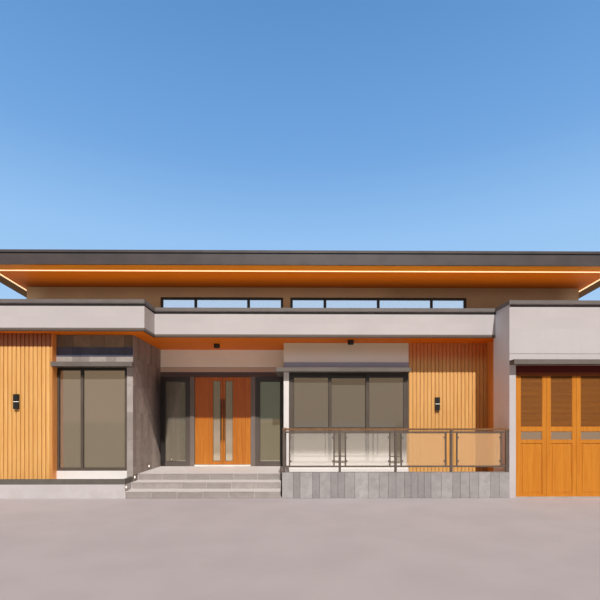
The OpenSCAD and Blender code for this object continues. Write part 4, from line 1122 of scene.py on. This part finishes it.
# slits of the wall lights and lenses of the ceiling lights, which hang above doorHeight

slit = {"inset": 0.004, "halfHeight": 0.004, "back": 0.05, "front": 0.022, "edge": 0.001}
lens = {"radius": 0.056, "depth": 0.012, "core": (0.03, 0.03, 0.01), "lift": 0.045, "doorHeight": 3.0}
lensPoints, slits = [], []
for low, high in looseBoxes("outdoor_lights"):
    middle = (low + high) / 2
    if high.z < lens["doorHeight"]:
        slits.append(((low.x + slit["inset"], high.y - slit["back"], middle.z - slit["halfHeight"]),
                      (high.x - slit["inset"], high.y - slit["front"], middle.z + slit["halfHeight"])))
    else:
        lensPoints.append((middle.x, middle.y, low.z + lens["lift"]))
boxPiece("wallLightSlits", slits, whiteGlow, slit["edge"])
lenses = growMesh("lenses", studs, {"Size": lens["core"], "Radius": lens["radius"], "Depth": lens["depth"],
                                    "Turn": (0, 0, 0), "Finish": whiteGlow}, points=lensPoints)
joinPieces("ceilingLightLenses", [lenses], "root")
print("lights made")


# diffuser of the light channel under the roof

ceilingStrip = {"channel": 0.06, "width": 0.062, "height": 0.032, "sides": 14, "back": 5.83, "lining": 0.02,
                "lift": 0.002}


def underRoof(x, y):
    level = lightHigh.z - ceilingStrip["lining"] + ceilingStrip["lift"]
    return x, y, level - slope * (y - lightLow.y)


half = ceilingStrip["channel"] / 2
leftX, rightX, frontY = lightLow.x + half, lightHigh.x - half, lightLow.y + half
strip = growMesh("strip", roundedStrip, {
    "Width": ceilingStrip["width"], "Height": ceilingStrip["height"], "Sides": ceilingStrip["sides"],
    "Finish": warmGlow}, points=[underRoof(leftX, ceilingStrip["back"]), underRoof(leftX, frontY),
                                 underRoof(rightX, frontY), underRoof(rightX, ceilingStrip["back"])],
    chain=True)
joinPieces("soffitDiffuser", [strip], "root")

# three round lights on the wall beside the steps, each a ring and a lens of (radius, depth)
stepLights = {"places": [(-6.10, 0.243), (-5.605, 0.397), (-4.65, 0.553)], "ring": (0.042, 0.008),
              "lens": (0.03, 0.014), "core": 0.02, "coreDepth": 0.9, "edge": 0.0015}
faceX = stoneHigh.x + recessStone["thickness"]
stepLightParts = []
for (radius, depth), material in ((stepLights["ring"], bronzeMetal), (stepLights["lens"], whiteGlow)):
    stepLightParts.append(growMesh("roundLight", studs, {
        "Size": (stepLights["core"], stepLights["core"], depth * stepLights["coreDepth"]), "Radius": radius,
        "Depth": depth, "Turn": (0, math.pi / 2, 0), "Finish": material},
        bevel=stepLights["edge"], points=[(faceX, y, z) for y, z in stepLights["places"]]))
joinPieces("stepLights", stepLightParts, "root")
print("strip and step lights made")


# thin trims: plaster beads and the end board of the slats

trim = {"beadZ": 3.147, "beadHeight": 0.012, "beadProud": 0.004, "beadEdge": 0.0015, "fromStone": 0.009,
        "board": 0.016, "boardProud": 0.003, "boardBehind": 0.018, "boardTop": 0.001, "boardEdge": 0.002}
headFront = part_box("garage_head_wall")[0].y
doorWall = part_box("upper_wall_base")[0].y
beadLow, beadHigh = trim["beadZ"], trim["beadZ"] + trim["beadHeight"]
# the plaster beads are grey, partly as the painted shade line of the groove they stand for
boxPiece("plasterBeads", [
    ((pierX, headFront - trim["beadProud"], beadLow), (wallHigh.x, headFront, beadHigh)),
    ((stoneHigh.x + trim["fromStone"], doorWall - trim["beadProud"], beadLow),
     (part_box("living_pier")[0].x, doorWall, beadHigh))], beadMetal, trim["beadEdge"])
boxPiece("slatEndBoard", [((stoneLow.x, slatFace - trim["boardProud"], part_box("planter_wall")[1].z),
                           (stoneLow.x + trim["board"], stoneLow.y + trim["boardBehind"],
                            soffitZ - trim["boardTop"]))], sideTimber, trim["boardEdge"])

# the posts beside the door stand a little proud of the side lights' frames
posts = {"width": 0.122, "proud": 0.003, "foot": 0.004, "edge": 0.001}
entranceLow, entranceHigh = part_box("entrance_frame")
boxPiece("doorPosts", [
    ((x, entranceLow.y - posts["proud"], landingHigh.z + posts["foot"]),
     (x + posts["width"], entranceLow.y, entranceHigh.z))
    for x in (thresholdLow.x - posts["width"], thresholdHigh.x)], postMetal, posts["edge"])
print("trims made")


# slider handle, on the inner face of the stile that closes, where it clears the fixed sash

handle = {"half": 0.1, "z": 1.38, "bar": 0.008, "plate": 0.015, "fromEdge": 0.035, "plateDepth": 0.005,
          "footDepth": 0.02, "footHeight": 0.015, "barDepth": (0.018, 0.028), "edge": 0.002}
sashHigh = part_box("sliding_leaf")[1]
stileX, inner, handleZ = sashHigh.x - handle["fromEdge"], sashHigh.y, handle["z"]
half, footHeight = handle["half"], handle["footHeight"]
boxPiece("sliderHandle", [
    ((stileX - side, inner + near, handleZ + low), (stileX + side, inner + far, handleZ + high))
    for side, near, far, low, high in (
        (handle["plate"], 0.0, handle["plateDepth"], -half, half),
        (handle["bar"], handle["plateDepth"], handle["footDepth"], -half, footHeight - half),
        (handle["bar"], handle["plateDepth"], handle["footDepth"], half - footHeight, half),
        (handle["bar"], *handle["barDepth"], -half, half))],
    blackMetal, handle["edge"], "slider")
print("handle made")


# camera, light and floor

studio = {"lens": 25.8, "sensor": 36, "shift": 0.204, "eye": (-0.225, -15.495, 1.65),
          "turn": (90.0, 0.0, -0.52), "sun": 3.5, "sunTravel": (-0.12, 1.0, -1.03), "sunAngle": 1.0,
          "sunColour": (1.0, 0.98, 0.96), "sky": 1.0, "floor": 60.0, "floorZ": -0.001}
cameraData = bpy.data.cameras.new("camera")
cameraData.lens, cameraData.sensor_width = studio["lens"], studio["sensor"]
cameraData.shift_y = studio["shift"]
camera = bpy.data.objects.new("camera", cameraData)
camera.location = studio["eye"]
camera.rotation_euler = [math.radians(a) for a in studio["turn"]]
bpy.context.scene.collection.objects.link(camera)
bpy.context.scene.camera = camera
bpy.context.scene.view_settings.view_transform = "Standard"

sunData = bpy.data.lights.new("sun", "SUN")
sunData.energy, sunData.angle = studio["sun"], math.radians(studio["sunAngle"])
sunData.color = studio["sunColour"]
sun = bpy.data.objects.new("sun", sunData)
sun.rotation_euler = Vector(studio["sunTravel"]).to_track_quat("-Z", "Y").to_euler()
bpy.context.scene.collection.objects.link(sun)

# what the glass reflects, by direction: pale above eye level, and below it bright patches on a darker ground
around = {"ahead": (-0.35, 0.0), "horizon": (0.19, 0.235), "farPatch": (-0.065, 0.0),
          "nearPatch": (-0.078, -0.066), "leftPatch": (-0.25, -0.12), "rightPatch": (-0.03, 0.225),
          "rightGround": 0.42, "strip": (-0.3, -0.245), "stripTop": 0.12, "fill": (-0.2, 0.9)}
world = bpy.data.worlds.new("soft sky")
bpy.context.scene.world = world
world.use_nodes = True
w = Tree(world.node_tree)
dx, dy, dz = w.axes(w.add("ShaderNodeTexCoord", out=0))
sky = w.add("ShaderNodeValToRGB", {"stops": [
    (0.0, tint(196, 218, 238)), (0.25, tint(164, 204, 244)), (0.38, tint(150, 195, 242)),
    (0.52, tint(117, 168, 225)), (0.72, tint(90, 143, 203))]}, {0: dz})
ahead = dy.ease(*around["ahead"], 1.0, 0.0)
backdrop = w.mix(ahead * 0.55, sky, tint(228, 238, 248))
backdrop = w.mix(ahead * dz.ease(*around["horizon"], 1.0, 0.0), backdrop, tint(168, 150, 127))
bright = w.mix(dz.ease(*around["farPatch"], 1.0, 0.0), (0.36, 0.32, 0.27), (0.66, 0.59, 0.51))
bright = w.mix(dz.ease(*around["nearPatch"], 1.0, 0.0), bright, (1.12, 1.05, 0.97))
patches = dx.between(*around["leftPatch"]) + dx.between(*around["rightPatch"])
darker = w.mix(dx.above(around["rightGround"]), tint(150, 138, 112), tint(230, 190, 152))
ground = w.mix(ahead, tint(188, 176, 170), w.mix(patches, darker, bright))
backdrop = w.mix(dz.below(0.0), backdrop, ground)
darkStrip = ahead * dx.between(*around["strip"]) * dz.below(around["stripTop"])  # beside the entrance's wall
backdrop = w.mix(darkStrip, backdrop, tint(112, 100, 84))
fill = w.mix(dx.ease(*around["fill"]), tint(116, 104, 98), tint(160, 146, 138))  # softer light from the right
soft = w.add("ShaderNodeLightPath", out="Is Diffuse Ray")
seen = w.add("ShaderNodeLightPath", out="Is Camera Ray")
lighting = w.add("ShaderNodeBackground", None, {
    "Color": w.mix(seen, w.mix(soft, backdrop, fill), sky), "Strength": studio["sky"]})
w.add("ShaderNodeOutputWorld", None, {"Surface": lighting})

# light from the channel washes over the boards beside it
wash = {"power": 60.0, "sidePower": 26.0, "colour": (1.0, 0.82, 0.6), "below": 0.3, "sideBelow": 0.5,
        "width": 0.12, "front": 15.2, "side": 10.5, "fromEaves": 0.36, "sideX": 7.85, "sideY": 0.4}
washZ = lightLow.z - wash["below"]
sideZ = washZ - wash["sideBelow"]
for name, middle, length, power, turn in (
        ("frontWash", (0.0, capLow.y + wash["fromEaves"], washZ), wash["front"], wash["power"], 0.0),
        ("leftWash", (-wash["sideX"], wash["sideY"], sideZ), wash["side"], wash["sidePower"], math.pi / 2),
        ("rightWash", (wash["sideX"], wash["sideY"], sideZ), wash["side"], wash["sidePower"], math.pi / 2)):
    washData = bpy.data.lights.new(name, "AREA")
    washData.shape, washData.size, washData.size_y = "RECTANGLE", length, wash["width"]
    washData.energy, washData.color = power * length / wash["front"], wash["colour"]
    washLight = bpy.data.objects.new(name, washData)
    washLight.location = middle
    washLight.rotation_euler = (math.pi, 0.0, turn)
    washLight.visible_camera = washLight.visible_glossy = False
    bpy.context.scene.collection.objects.link(washLight)


def floorPiece():
    mesh = bpy.data.meshes.new("floor")
    half, z = studio["floor"], studio["floorZ"]
    mesh.from_pydata([(-half, -half, z), (half, -half, z), (half, half, z), (-half, half, z)], [],
                     [(0, 1, 2, 3)])
    piece = newPiece("floor", mesh)
    mesh.materials.append(finish("studio floor", lambda t: {
        "Base Color": t.mix(t.noise(t.place(), 1.2, 3).wide(), tint(177, 168, 168), tint(183, 174, 174)),
        "Roughness": 0.85}))
    piece.visible_glossy = False


floorPiece()
print("studio made")
